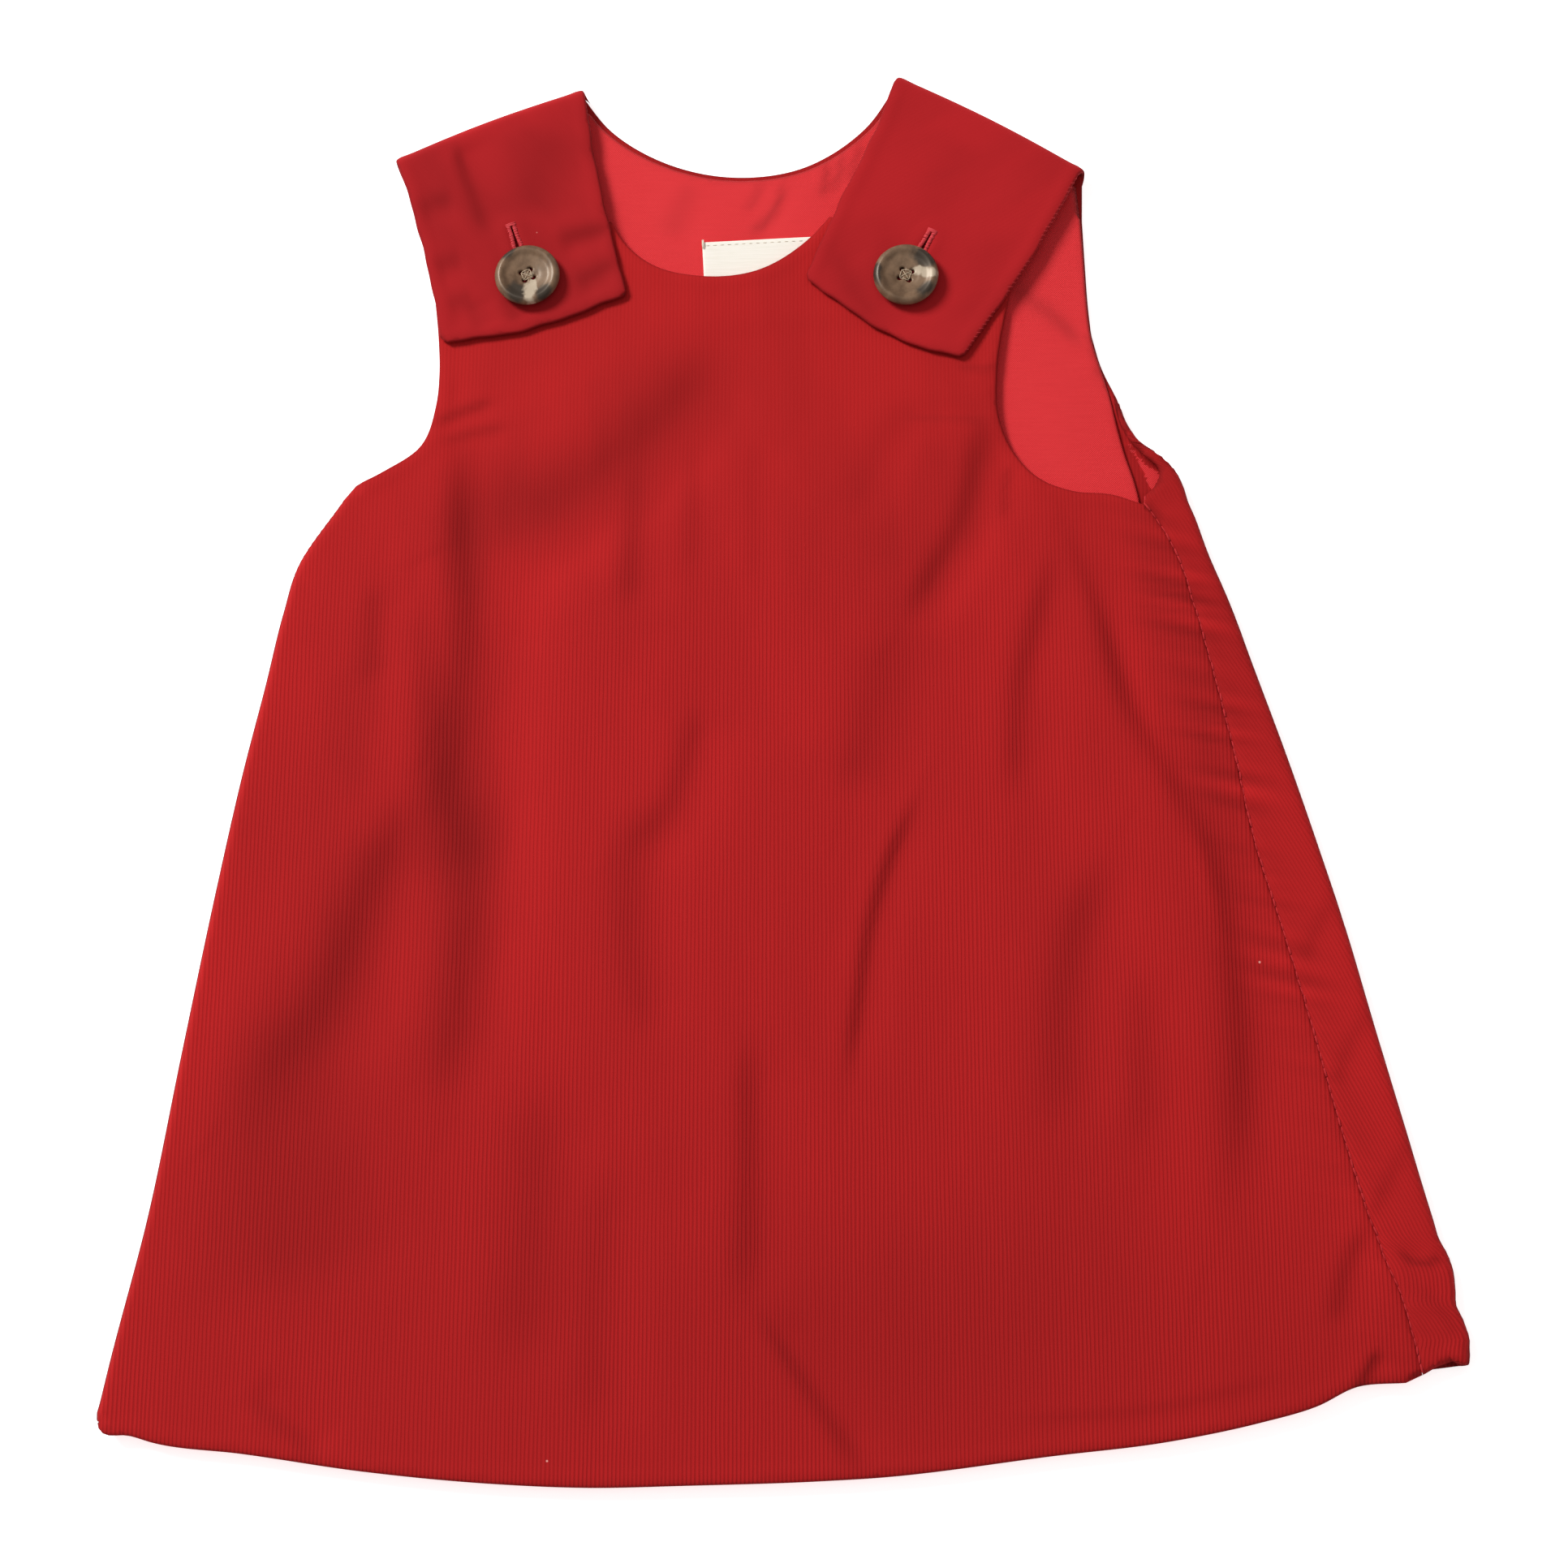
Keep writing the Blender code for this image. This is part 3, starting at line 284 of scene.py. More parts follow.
def curve(points, step=FINE):
    """Points about a step apart on a smooth curve through the given ones."""
    given = np.array(points, float)
    knots = np.concatenate(([0.0], np.cumsum(np.linalg.norm(np.diff(given, axis=0), axis=1))))
    at = np.linspace(0, knots[-1], max(1, round(knots[-1] / step)) + 1)
    return np.column_stack([hermite(knots, given[:, axis], at) for axis in (0, 1)])


def stations(low, high):
    """Heights from low to high, a fine step apart."""
    return np.linspace(low, high, max(1, round((high - low) / FINE)) + 1)


def headings(points):
    """The way along a stretch of outline at each of its points, and the way to its left."""
    way = np.gradient(points, axis=0)
    way /= np.linalg.norm(way, axis=1)[:, None]
    return way, np.column_stack([-way[:, 1], way[:, 0]])


def two_ways(start, end):
    """The ways along and across a line from start to end."""
    along = np.array(end) - np.array(start)
    along = along / np.linalg.norm(along)
    return along, np.array((-along[1], along[0]))


def right_seam(y):
    """Where the right side seam lies on top."""
    return column(RIGHT_SIDE, "fold", y) - column(RIGHT_SIDE, "band", y)


def loop(*stretches):
    """One closed outline from stretches laid end to end, with near-double points left out."""
    points = np.vstack(stretches)
    keep = [0]
    for i in range(1, len(points)):
        if np.linalg.norm(points[i] - points[keep[-1]]) > FINE / 3:
            keep.append(i)
    if np.linalg.norm(points[keep[-1]] - points[0]) <= FINE / 3:
        keep.pop()
    return points[keep]


# Heights of the upper layer.
def ease(value, low, high):
    """0 below low, 1 above high, smooth between."""
    t = np.clip((value - low) / (high - low), 0, 1)
    return t * t * (3 - 2 * t)


def beside_path(path, x, y):
    """Distance from a path, more than zero on its right as seen on the dress, and the share of it gone by."""
    path = curve(path, 6)
    best = np.full(np.shape(x), np.inf)
    side = np.zeros_like(best)
    along = np.zeros_like(best)
    gone = 0.0
    for a, b in zip(path, path[1:]):
        way = b - a
        long = math.hypot(*way)
        t = np.clip(((x - a[0]) * way[0] + (y - a[1]) * way[1]) / long ** 2, 0, 1)
        dx, dy = x - a[0] - t * way[0], y - a[1] - t * way[1]
        away = np.hypot(dx, dy)
        closer = away < best
        best = np.where(closer, away, best)
        cross = (dx * way[1] - dy * way[0]) * (1 if way[1] > 0 else -1)
        side = np.where(closer, np.where(cross > 0, away, -away), side)
        along = np.where(closer, gone + t * long, along)
        gone += long
    return side, along / gone


def crease_form(crease, x, y):
    """How far one crease lowers the cloth, and how much painted shade it puts along it."""
    side, along = beside_path(crease.path, x, y)
    reach = np.interp(along, (0, 1), crease.reach)
    taper = (0.1 + 0.9 * ease(along, 0, 0.25)) * (0.1 + 0.9 * (1 - ease(along, 0.75, 1)))
    fall = 0.5 + 0.5 * np.tanh(1.3 * side / reach)
    climb = np.exp(-(np.maximum(side - reach, 0) / crease.recover) ** 2)
    lead = np.exp(-((side + 1.3 * reach) / (1.6 * reach + 2)) ** 2)
    ends = np.exp(-(np.maximum(np.abs(side) - crease.recover, 0) / crease.recover) ** 2)
    depth = crease.drop * taper * (fall * climb - 0.3 * lead) * ends
    dark = crease.shade * taper * np.exp(-(side / (1.15 * reach)) ** 2)
    return depth, dark


def creased(creases, x, y):
    """How far a table of creases lowers the cloth, and how much painted shade it puts there."""
    forms = [crease_form(crease, x, y) for crease in creases]
    return sum(form[0] for form in forms), sum(form[1] for form in forms)


def patch_shade(patches, x, y):
    """How much painted shade a table of patches puts on the cloth, or painted light where a shade is below
    zero.
    """
    total = np.zeros(np.shape(x))
    for patch in patches:
        turn = math.radians(patch.turn)
        dx, dy = x - patch.x, y - patch.y
        across = (dx * math.cos(turn) + dy * math.sin(turn)) / patch.wide
        along = (dy * math.cos(turn) - dx * math.sin(turn)) / patch.tall
        total += patch.shade * np.exp(-(across ** 2 + along ** 2) ** 1.3)
    return total


# The ways along the label's upper edge and down from it.
LABEL_ALONG = np.array((math.cos(LABEL_TURN), math.sin(LABEL_TURN)))
LABEL_DOWN = np.array((LABEL_ALONG[1], -LABEL_ALONG[0]))


def label_box(x, y):
    """Distance outside the label, 0 on it."""
    turn = LABEL_ALONG
    across = (x - LABEL_CORNER[0]) * turn[0] + (y - LABEL_CORNER[1]) * turn[1]
    down = (x - LABEL_CORNER[0]) * turn[1] - (y - LABEL_CORNER[1]) * turn[0]
    outside_x = np.maximum(np.maximum(-across, across - LABEL_WIDE), 0)
    outside_y = np.maximum(np.maximum(-down, down - LABEL_TALL), 0)
    return np.hypot(outside_x, outside_y)


def lowest(x, y):
    """Lowest that the upper layer may lie: on the back, on the lining, or on the label."""
    on_lining = ease(y, LINING_HEM - 30, LINING_HEM - 12)
    on_label = 1 - ease(label_box(x, y), 3, 22)
    floor = SKIRT_LOWEST + (BODICE_LOWEST - SKIRT_LOWEST) * on_lining
    return floor + (OVER_LABEL - BODICE_LOWEST) * on_label


def handled(x, y):
    """Slight unevenness of cloth that has been worn and handled."""
    long = np.sin(x / 17 + 1.3 * np.sin(y / 41)) * np.sin(y / 53 + 0.7 + 0.5 * np.sin(x / 29))
    short = np.sin(x / 7.1 + 0.9 * np.sin(y / 13)) * np.sin(y / 19 + 2.1)
    return 0.12 * long + 0.035 * short


def seam_pucker_wave(x, y):
    """How the side seam's stitching pulls the cloth, -1 to 1, how strongly, and the distance from it."""
    beside = x - right_seam(y)
    near = np.exp(-np.where(beside > 0, beside / 9, beside / 13) ** 2)
    lean = beside * 0.16
    wave = 0.6 * np.sin(y / 1.9 + 1.7 * np.sin(y / 13) + lean)
    wave = wave + 0.4 * np.sin(y / 1.05 + 2.2 * np.sin(y / 7.3) + lean * 1.4)
    strong = 0.2 + 0.8 * ease(y, -115, -45) * (1 - ease(y, 60, 77))
    return wave, near * strong * (0.6 + 0.4 * np.sin(y / 6.1 + 2 * np.sin(y / 17))), beside


def seam_puckers(x, y):
    """Short ridges across the side seam, and the seam's own groove."""
    wave, strong, beside = seam_pucker_wave(x, y)
    groove = 0.2 * np.exp(-(beside / 1.3) ** 2)
    return 0.55 * wave * strong - groove * (1 - ease(y, 70, 78))


def under_straps(x, y):
    """1 where a strap lies on the front, fading out beside it."""
    pressed = np.zeros(np.shape(x))
    for strap in STRAPS.values():
        (ax, ay), (bx, by) = strap.hole_foot, strap.button
        past = ((x - ax) * (bx - ax) + (y - ay) * (by - ay)) / math.hypot(bx - ax, by - ay)
        off = (x - ax) * (by - ay) - (y - ay) * (bx - ax)
        off = off / math.hypot(bx - ax, by - ay)
        pressed = np.maximum(pressed, (1 - ease(past, 34, 48)) * (1 - ease(np.abs(off), 30, 40)))
    return pressed


def painted_upper_shade(x, y):
    """Painted shade on the upper layer from its creases, patches and seam puckers: 0 is plain, 1 darkest,
    below 0 painted light.
    """
    wave, strong, _ = seam_pucker_wave(x, y)
    folds = creased(CREASES, x, y)[1] + patch_shade(PATCHES, x, y)
    return np.minimum(folds - 0.7 * wave * strong, 1.05)


def strap_shade(x, y):
    """Painted shade on the straps from their creases and patches."""
    return creased(STRAP_CREASES, x, y)[1] + patch_shade(STRAP_PATCHES, x, y)


def side_shade(z, upright):
    """Painted shade on cloth that turns under, most where it stands upright."""
    return np.maximum(0.5 * (1 - ease(z, 1.6, 3.4)), 2 * ease(upright, 0.3, 0.6))


def resting(wanted, x, y):
    """A height no lower than what lies below allows, eased where it comes near."""
    floor = lowest(x, y)
    return floor + np.logaddexp(0, (wanted - floor) * 4) / 4


def top_height(x, y):
    """Height of the middle of the upper layer."""
    x, y = np.asarray(x, float), np.asarray(y, float)
    beside = ease(x - column(LEFT_SIDE, "fold", y), 2, 16) * ease(column(RIGHT_SIDE, "fold", y) - x, 2, 22)
    depth, _ = creased(CREASES, x, y)
    wanted = FRONT_REST - depth * (FOLD_LEFT_AT_SIDES + (1 - FOLD_LEFT_AT_SIDES) * beside) + handled(x, y)
    wanted = wanted + (STRAP_BED - wanted) * under_straps(x, y)
    return resting(wanted, x, y) + seam_puckers(x, y)


def strap_height(x, y):
    """Height of the middle of a strap that lies on the front."""
    depth, _ = creased(STRAP_CREASES, x, y)
    lies = resting(STRAP_BED, x, y)
    return lies + STRAP_RISE + 0.1 - np.clip(depth, -0.5, 0.9) + handled(x + 40, y)


# The two side folds, where cloth turns from one layer to the other.
def turn_radius(edge_x, y):
    """Radius of a side's turn: it reaches from the cloth on the floor to the upper layer."""
    return (top_height(edge_x, y) - FLOOR_LAYER) / 2


def left_turn(y):
    """Where the left turn starts on top, and its radius."""
    edge = column(LEFT_SIDE, "fold", y) + WALL / 2
    radius = turn_radius(edge + 1.7, y)
    return edge + radius, radius


def right_turn(y):
    """Where the right turn starts below, and its radius."""
    edge = column(RIGHT_SIDE, "fold", y) - WALL / 2
    radius = turn_radius(edge - 1.7, y)
    return edge - radius, radius


def band_reach(y):
    """Flat width of the back past the right turn's start."""
    start, radius = right_turn(y)
    band = column(RIGHT_SIDE, "band", y)
    return np.maximum(math.pi * radius + band - radius - WALL / 2, 0)


def under_reach(y):
    """Flat width of the front past the left turn's start."""
    return math.pi * left_turn(y)[1] + TURNED_UNDER


# Laying: from a flat point of a pattern piece to its place in space.
def lay_front(x, y):
    """The front lies on top, goes round the left turn and on under the dress."""
    start, radius = left_turn(y)
    past = start - x
    angle = np.clip(past / radius, 0, math.pi)
    under = np.maximum(past - math.pi * radius, 0)
    turned = (start - radius * np.sin(angle) + under, y, FLOOR_LAYER + radius * (1 + np.cos(angle)))
    return np.where(past > 0, turned, (x, y, top_height(x, y)))


def strap_frame(strap):
    """A strap's fold line: its outer corner, the way along it, and the way out of the dress."""
    corner = np.array(strap.outer_corner, float)
    along = np.array(strap.inner_corner, float) - corner
    long = np.linalg.norm(along)
    along = along / long
    out = np.array((-along[1], along[0]))
    if out[1] < 0:
        out = -out
    middle = corner + along * long / 2
    radius = (float(strap_height(*middle)) - FLOOR_LAYER) / 2
    return corner, along, out, long, radius


def unfold(strap, points):
    """Flat places of points of a strap as it lies on the front."""
    corner, along, out, long, radius = strap_frame(strap)
    points = np.array(points, float)
    beyond = (points - corner) @ out
    inset = WALL / 2 + radius
    return points + np.outer(-2 * beyond - 2 * inset + math.pi * radius, out)


def lay_strap(strap, x, y):
    """Place of the cloth past a strap's fold line, and how far past it is."""
    corner, along, out, long, radius = strap_frame(strap)
    side = (x - corner[0]) * along[0] + (y - corner[1]) * along[1]
    past = (x - corner[0]) * out[0] + (y - corner[1]) * out[1] + WALL / 2 + radius
    angle = np.clip(past / radius, 0, math.pi)
    over = np.maximum(past - math.pi * radius, 0)
    reach = radius * np.sin(angle) - over + np.minimum(past, 0) - WALL / 2 - radius
    t = np.clip(side / long, 0, 1)
    reach = reach + strap.bulge * np.sin(math.pi * t) * np.exp(-(np.minimum(past, 0) + over) ** 2 / 150)
    laid_x = corner[0] + side * along[0] + reach * out[0]
    laid_y = corner[1] + side * along[1] + reach * out[1]
    turn_z = FLOOR_LAYER + radius * (1 - np.cos(angle))
    settled = turn_z + (strap_height(laid_x, laid_y) - turn_z) * ease(over, 0, 5)
    return (laid_x, laid_y, np.where(over > 0, settled, turn_z)), past


def lay_back(x, y):
    """The back lies on the floor, goes up round the right turn, and its straps go over the shoulders."""
    place = np.array((x, y, np.full_like(x, FLOOR_LAYER)))
    start, radius = right_turn(y)
    past = x - start
    angle = np.clip(past / radius, 0, math.pi)
    over = np.maximum(past - math.pi * radius, 0)
    turned_x = start + radius * np.sin(angle) - over
    turned_z = np.where(over > 0, top_height(turned_x, y), FLOOR_LAYER + radius * (1 - np.cos(angle)))
    curled = 1 - ease(y, *CURL_FADES)
    turned = np.array((turned_x, y, turned_z))
    place = np.where(past > 0, place + (turned - place) * curled, place)
    for name, strap in STRAPS.items():
        this_side = x < 0 if name == "left" else x > 0
        laid, beyond = lay_strap(strap, x, y)
        near = this_side & (beyond > -BULGE_REACH) & (y > CURL_TOP + 10)
        place = np.where(near & (beyond > 0), laid, place)
        bulged = np.array((laid[0], laid[1], np.full_like(x, FLOOR_LAYER)))
        place = np.where(near & (beyond <= 0), bulged, place)
    return place


def lay_lining(x, y):
    """The lining lies on the back, with soft wrinkles of its own."""
    wrinkle = 0.16 * np.sin(x / 6.5 + 0.8 * np.sin(y / 15)) * np.sin(y / 21 + x / 37 + 0.6)
    depth, _ = creased(LINING_CREASES, x, y)
    return np.array((x, y, LINING_LAYER + 0.2 + wrinkle - np.clip(depth, -0.5, 0.35)))


def label_height(x):
    """Height of the middle of the label, which is a little wavy."""
    return LABEL_LAYER + 0.12 * np.sin(x / 9 + 1)


def lay_label(x, y):
    return np.array((x, y, label_height(x)))


# Points inside the pattern pieces.
def in_parts(job, x, y, part=2000):
    """A job on many points, done some at a time."""
    return np.concatenate([job(x[i:i + part], y[i:i + part]) for i in range(0, len(x), part)])


def inside(outline, x, y):
    """Which points lie inside a closed outline."""
    x0, y0 = outline[:, 0], outline[:, 1]
    x1, y1 = np.roll(x0, -1), np.roll(y0, -1)
    rise = np.where(y1 == y0, 1, y1 - y0)
    slope = (x1 - x0) / rise

    def job(px, py):
        crosses = (y0[:, None] > py) != (y1[:, None] > py)
        at = x0[:, None] + (py - y0[:, None]) * slope[:, None]
        return (crosses & (px < at)).sum(axis=0) % 2 == 1
    return in_parts(job, x, y)


def clearance(outline, x, y):
    """Distance of each point from an outline."""
    a = outline
    way = np.roll(outline, -1, axis=0) - a
    length = np.maximum((way ** 2).sum(axis=1), 1e-9)

    def job(px, py):
        dx, dy = px[None, :] - a[:, 0, None], py[None, :] - a[:, 1, None]
        t = np.clip((dx * way[:, 0, None] + dy * way[:, 1, None]) / length[:, None], 0, 1)
        return np.sqrt((dx - t * way[:, 0, None]) ** 2 + (dy - t * way[:, 1, None]) ** 2).min(axis=0)
    return in_parts(job, x, y)


def in_cut(outline, holes, x, y):
    """Which points lie inside an outline and outside its holes."""
    keep = inside(outline, x, y)
    for hole in holes:
        keep &= ~inside(hole, x, y)
    return keep


def nearest(outlines, x, y):
    """Distance of each point from the nearest outline."""
    return np.min([clearance(one, x, y) for one in outlines], axis=0)


def net(outline, across, where=None):
    """Staggered points inside an outline, clear of its edge."""
    low, high = outline.min(axis=0), outline.max(axis=0)
    rows = []
    for number, y in enumerate(np.arange(low[1] + across / 2, high[1], across * 0.87)):
        xs = np.arange(low[0] + (across / 2 if number % 2 else 0), high[0], across)
        rows.append(np.column_stack([xs, np.full_like(xs, y)]))
    points = np.vstack(rows)
    if where is not None:
        points = points[where(points[:, 0], points[:, 1])]
    x, y = points[:, 0], points[:, 1]
    points = points[inside(outline, x, y)]
    clear = clearance(outline, points[:, 0], points[:, 1])
    return points[clear > max(RIM + across * 0.35, across * 0.5)]


def signed_area(outline):
    """Area in an outline, less than zero where it goes round clockwise."""
    x, y = outline[:, 0], outline[:, 1]
    return 0.5 * np.sum(x * np.roll(y, -1) - y * np.roll(x, -1))


def edge_rows(outline):
    """Rows of points just inside an outline, where the wall rounds off."""
    ahead = np.roll(outline, -1, axis=0) - np.roll(outline, 1, axis=0)
    ahead /= np.linalg.norm(ahead, axis=1)[:, None]
    way_in = np.column_stack([-ahead[:, 1], ahead[:, 0]])
    way_in *= math.copysign(1, signed_area(outline))
    rows = []
    for distance in ROUNDING:
        row = outline + way_in * distance
        good = inside(outline, row[:, 0], row[:, 1])
        good &= clearance(outline, row[:, 0], row[:, 1]) > distance * 0.9
        rows.append(row[good])
    return np.vstack(rows)


def triangles(outline, holes, free):
    """Triangles between an outline and its holes, through free points."""
    verts, edges = [], []
    for one in [outline, *holes]:
        first = len(verts)
        verts += [Vector(p) for p in one]
        edges += [(first + i, first + (i + 1) % len(one)) for i in range(len(one))]
    verts += [Vector(p) for p in free]
    flat, _, faces, *_ = delaunay_2d_cdt(verts, edges, [], 0, CDT_NEAR)
    flat = np.array([tuple(v) for v in flat])
    faces = np.array([face for face in faces if len(face) == 3])
    middle = flat[faces].mean(axis=1)
    return flat, faces[in_cut(outline, holes, middle[:, 0], middle[:, 1])]


# Shells.
def new_piece(name, mesh):
    """A piece of the dress, on its only body."""
    piece = bpy.data.objects.new(name, mesh)
    bpy.context.scene.collection.objects.link(piece)
    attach(piece, "root")
    return piece


def off_seam(x, y):
    """0 at the right side seam, 1 away from it."""
    return np.maximum(ease(np.abs(x - right_seam(y)), 4, 8), ease(y, 78, 84))


def no_welt(x, y, z):
    return 0.0


def welt(height):
    """A raised edge of that height, on cloth that is off the floor and off the side seam."""
    return lambda x, y, z: height * off_seam(x, y) * ease(z, 1.5, 2.5)


def cloth(name, outline, points, lay, wall, outer, inner, slits=(), raised=no_welt, flip=False, picks=(),
          shade=None):
    """A cloth piece with two faces and a rounded edge.

    Its flat places are kept in the map "flat", in mm, and its painted light and shade in the attribute
    "pile"."""
    loops = [outline, *slits]
    free = np.vstack([points, edge_rows(outline)])
    x, y = free[:, 0], free[:, 1]
    keep = in_cut(outline, slits, x, y)
    if slits:
        keep &= nearest(slits, x, y) > 0.3
    flat, faces = triangles(outline, slits, free[keep])
    # A corner's ear, with no point inside, would lie twice on itself.
    on_edges = sum(len(one) for one in loops)
    faces = faces[(faces >= on_edges).any(axis=1)]
    used, faces = np.unique(faces, return_inverse=True)
    faces = faces.reshape(-1, 3)
    flat = flat[used]
    a, b, c = (flat[faces[:, i]] for i in range(3))
    clockwise = np.cross(b - a, c - a) < 0
    faces[clockwise] = faces[clockwise][:, ::-1]

    place = np.array(lay(flat[:, 0], flat[:, 1])).T
    a, b, c = (place[faces[:, i]] for i in range(3))
    normal = np.cross(b - a, c - a)
    normals = np.zeros_like(place)
    for i in range(3):
        np.add.at(normals, faces[:, i], normal)
    normals /= np.maximum(np.linalg.norm(normals, axis=1), 1e-9)[:, None]

    away = nearest(loops, flat[:, 0], flat[:, 1])
    half = wall / 2 * np.sqrt(np.clip(1 - (1 - np.clip(away / RIM, 0, 1)) ** 2, 0, 1))
    ridge = raised(*place.T) * np.exp(-((away - 2.6) / 1.7) ** 2)
    upper = place + normals * (half + (0 if flip else ridge))[:, None]
    lower = place - normals * (half + (ridge if flip else 0))[:, None]
    border = away < 1e-3
    upper[border] = place[border]
    count = len(place)
    twin = np.where(border, np.arange(count), 0)
    twin[~border] = count + np.arange((~border).sum())
    co = np.vstack([upper, lower[~border]]) * MM
    all_faces = np.vstack([faces, twin[faces][:, ::-1]])
    uv_of = np.vstack([flat, flat[~border]])

    mesh = bpy.data.meshes.new(name)
    mesh.vertices.add(len(co))
    mesh.vertices.foreach_set("co", co.astype(np.float32).ravel())
    mesh.loops.add(all_faces.size)
    mesh.loops.foreach_set("vertex_index", all_faces.astype(np.int32).ravel())
    mesh.polygons.add(len(all_faces))
    mesh.polygons.foreach_set("loop_start", np.arange(0, all_faces.size, 3, dtype=np.int32))
    mesh.polygons.foreach_set("use_smooth", np.ones(len(all_faces), bool))
    finishes = [outer, inner]
    index = np.concatenate([np.zeros(len(faces), np.int32), np.ones(len(faces), np.int32)])
    if flip:
        index = 1 - index
    spot = flat[faces].mean(axis=1)
    for finish, face, where in picks:
        finishes.append(finish)
        chosen = where(spot[:, 0], spot[:, 1])
        index[np.concatenate([chosen, chosen]) & (index == face)] = len(finishes) - 1
    for finish in finishes:
        mesh.materials.append(finish)
    mesh.polygons.foreach_set("material_index", index)
    mesh.update(calc_edges=True)
    layer = mesh.uv_layers.new(name="flat")
    layer.data.foreach_set("uv", uv_of[all_faces.ravel()].astype(np.float32).ravel())
    x, y, z = place.T
    # Painted light and shade from the piece's shade function, then painted shade along every edge, weaker at
    # the side seam.
    pile = np.zeros(count) if shade is None else shade(x, y, z, 1 - np.abs(normals[:, 2]))
    pile = pile + 1.1 * np.exp(-(away / 0.6) ** 2) * (0.35 + 0.65 * off_seam(x, y))
    pile = np.clip(pile, MOST_PAINTED_LIGHT, MOST_PAINTED_SHADE)
    dark = mesh.attributes.new("pile", "FLOAT", "POINT")
    dark.data.foreach_set("value", np.concatenate([pile, pile[~border]]).astype(np.float32))
    mesh.validate()
    return new_piece(name, mesh)


def declare_sheet(outline):
    size = np.ptp(outline, axis=0) * MM
    float(abs(signed_area(outline)) * MM ** 2)


# The cloth pieces.
def front_outline():
    """Flat outline of the front, from the hem under the left fold round to the left seam."""
    hem_y = FRONT_HEM[0][1]
    hem_start, hem_radius = left_turn(hem_y)
    reaches = np.concatenate(([under_reach(hem_y)], stations(1.5, math.pi * hem_radius + 15)[::-1]))
    under_hem = [(float(hem_start) - reach, hem_y + 0.5) for reach in reaches]
    seam_y = stations(RIGHT_HEM[0][1] + 0.6, SEAM_TOP)
    seam_x = right_seam(seam_y) - SEAM_GAP / 2
    under_y = stations(hem_y + 0.5, LEFT_SEAM_TOP)[::-1]
    under_x = left_turn(under_y)[0] - under_reach(under_y)
    return loop(
        under_hem, curve(FRONT_HEM), np.column_stack([seam_x, seam_y]), curve(FRONT_ARMHOLE_RIGHT),
        curve(FRONT_TAB_RIGHT), curve(FRONT_NECK), curve(FRONT_TAB_LEFT), curve(FRONT_ARMHOLE_LEFT),
        np.column_stack([under_x, under_y]))


def turn_rows(turn, heights, way):
    """Rows of points round a side's turn, on the flat outline's right or left."""
    starts, radii = turn(heights)
    steps = [way * math.pi * radii * k / TURN_ROWS for k in range(TURN_ROWS + 1)]
    return np.vstack([np.column_stack([starts + step, heights]) for step in steps])


def front(cord, poplin):
    """The front, from the left seam under the dress to the right seam on top."""
    outline = front_outline()
    hem_y = FRONT_HEM[0][1]
    turn = turn_rows(left_turn, stations(hem_y + 3, LEFT_SEAM_TOP - 2), -1)
    clear = net(outline, FINE, lambda x, y: x > left_turn(y)[0] + FINE * 0.6)
    under = net(outline, COARSE, lambda x, y: x < left_turn(y)[0] - math.pi * left_turn(y)[1] - 3)
    points = np.vstack([clear, turn, under])
    piece = cloth(
        "front_cloth", outline, points, lay_front, WALL, cord, poplin,
        raised=welt(0.18),
        # Painted shade of the upper layer's creases, patches and puckers, and on the turned side.
        shade=lambda x, y, z, upright: painted_upper_shade(x, y) * ease(z, 1.5, 2.5) + side_shade(z, upright))
    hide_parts("front")
    return piece, outline


def wavy(points, size):
    """A stretch of outline that wanders a little from side to side, but not at its ends."""
    at = np.arange(len(points)) * FINE
    ends = np.minimum(at, at[::-1])
    wave = size * (np.sin(at / 3.1 + 1) + 0.6 * np.sin(at / 1.7)) * ease(ends, 2, 8)
    return points + wave[:, None] * headings(points)[1]


def strap_outline(strap, from_inner):
    """Flat outline of a strap past its fold line, from the fold's one corner to its other."""
    corner, along, out, long, radius = strap_frame(strap)
    turned = np.arange(TURN_ROWS + 1) / TURN_ROWS
    steps = math.pi * radius * turned - WALL / 2 - radius
    outer = corner + np.outer(steps, out) - np.outer(strap.spread[0] * (1 - turned), along)
    inner = np.array(strap.inner_corner, float) + np.outer(steps, out)
    inner += np.outer(strap.spread[1] * (1 - turned), along)
    loose = np.vstack([outer[-1:], unfold(strap, strap.outer_edge)])
    end = unfold(strap, strap.end)
    back_up = np.vstack([unfold(strap, strap.inner_edge), inner[-1:]])
    stretches = [
        outer[:-1], wavy(curve(loose), 0.15), wavy(curve(end), 0.22), wavy(curve(back_up), 0.16),
        inner[:-1][::-1]]
    if from_inner:
        stretches = [np.array(stretch)[::-1] for stretch in stretches[::-1]]
    return np.vstack(stretches)


def past_fold(strap, x, y):
    """Flat distance of points past the end of a strap's turn."""
    corner, along, out, long, radius = strap_frame(strap)
    past = (x - corner[0]) * out[0] + (y - corner[1]) * out[1]
    return past - math.pi * radius + WALL / 2 + radius


def strap_points(outline, strap):
    """Rows of points round a strap's fold, and a net over the rest of it."""
    corner, along, out, long, radius = strap_frame(strap)
    sides = stations(0, long)[1:-1]
    rows = math.pi * radius * np.arange(TURN_ROWS + 1) / TURN_ROWS - WALL / 2 - radius
    turn = np.array([corner + along * side + out * row for side in sides for row in rows])
    inner = clearance(outline, turn[:, 0], turn[:, 1]) > RIM * 1.2

    def on_strap(x, y):
        """Past the fold, and on this strap's side of the neck."""
        return (past_fold(strap, x, y) > FINE / 2) & ((x - NECK_MIDDLE) * np.sign(corner[0]) > 0)

    return np.vstack([turn[inner], net(outline, FINE * 0.8, on_strap)])


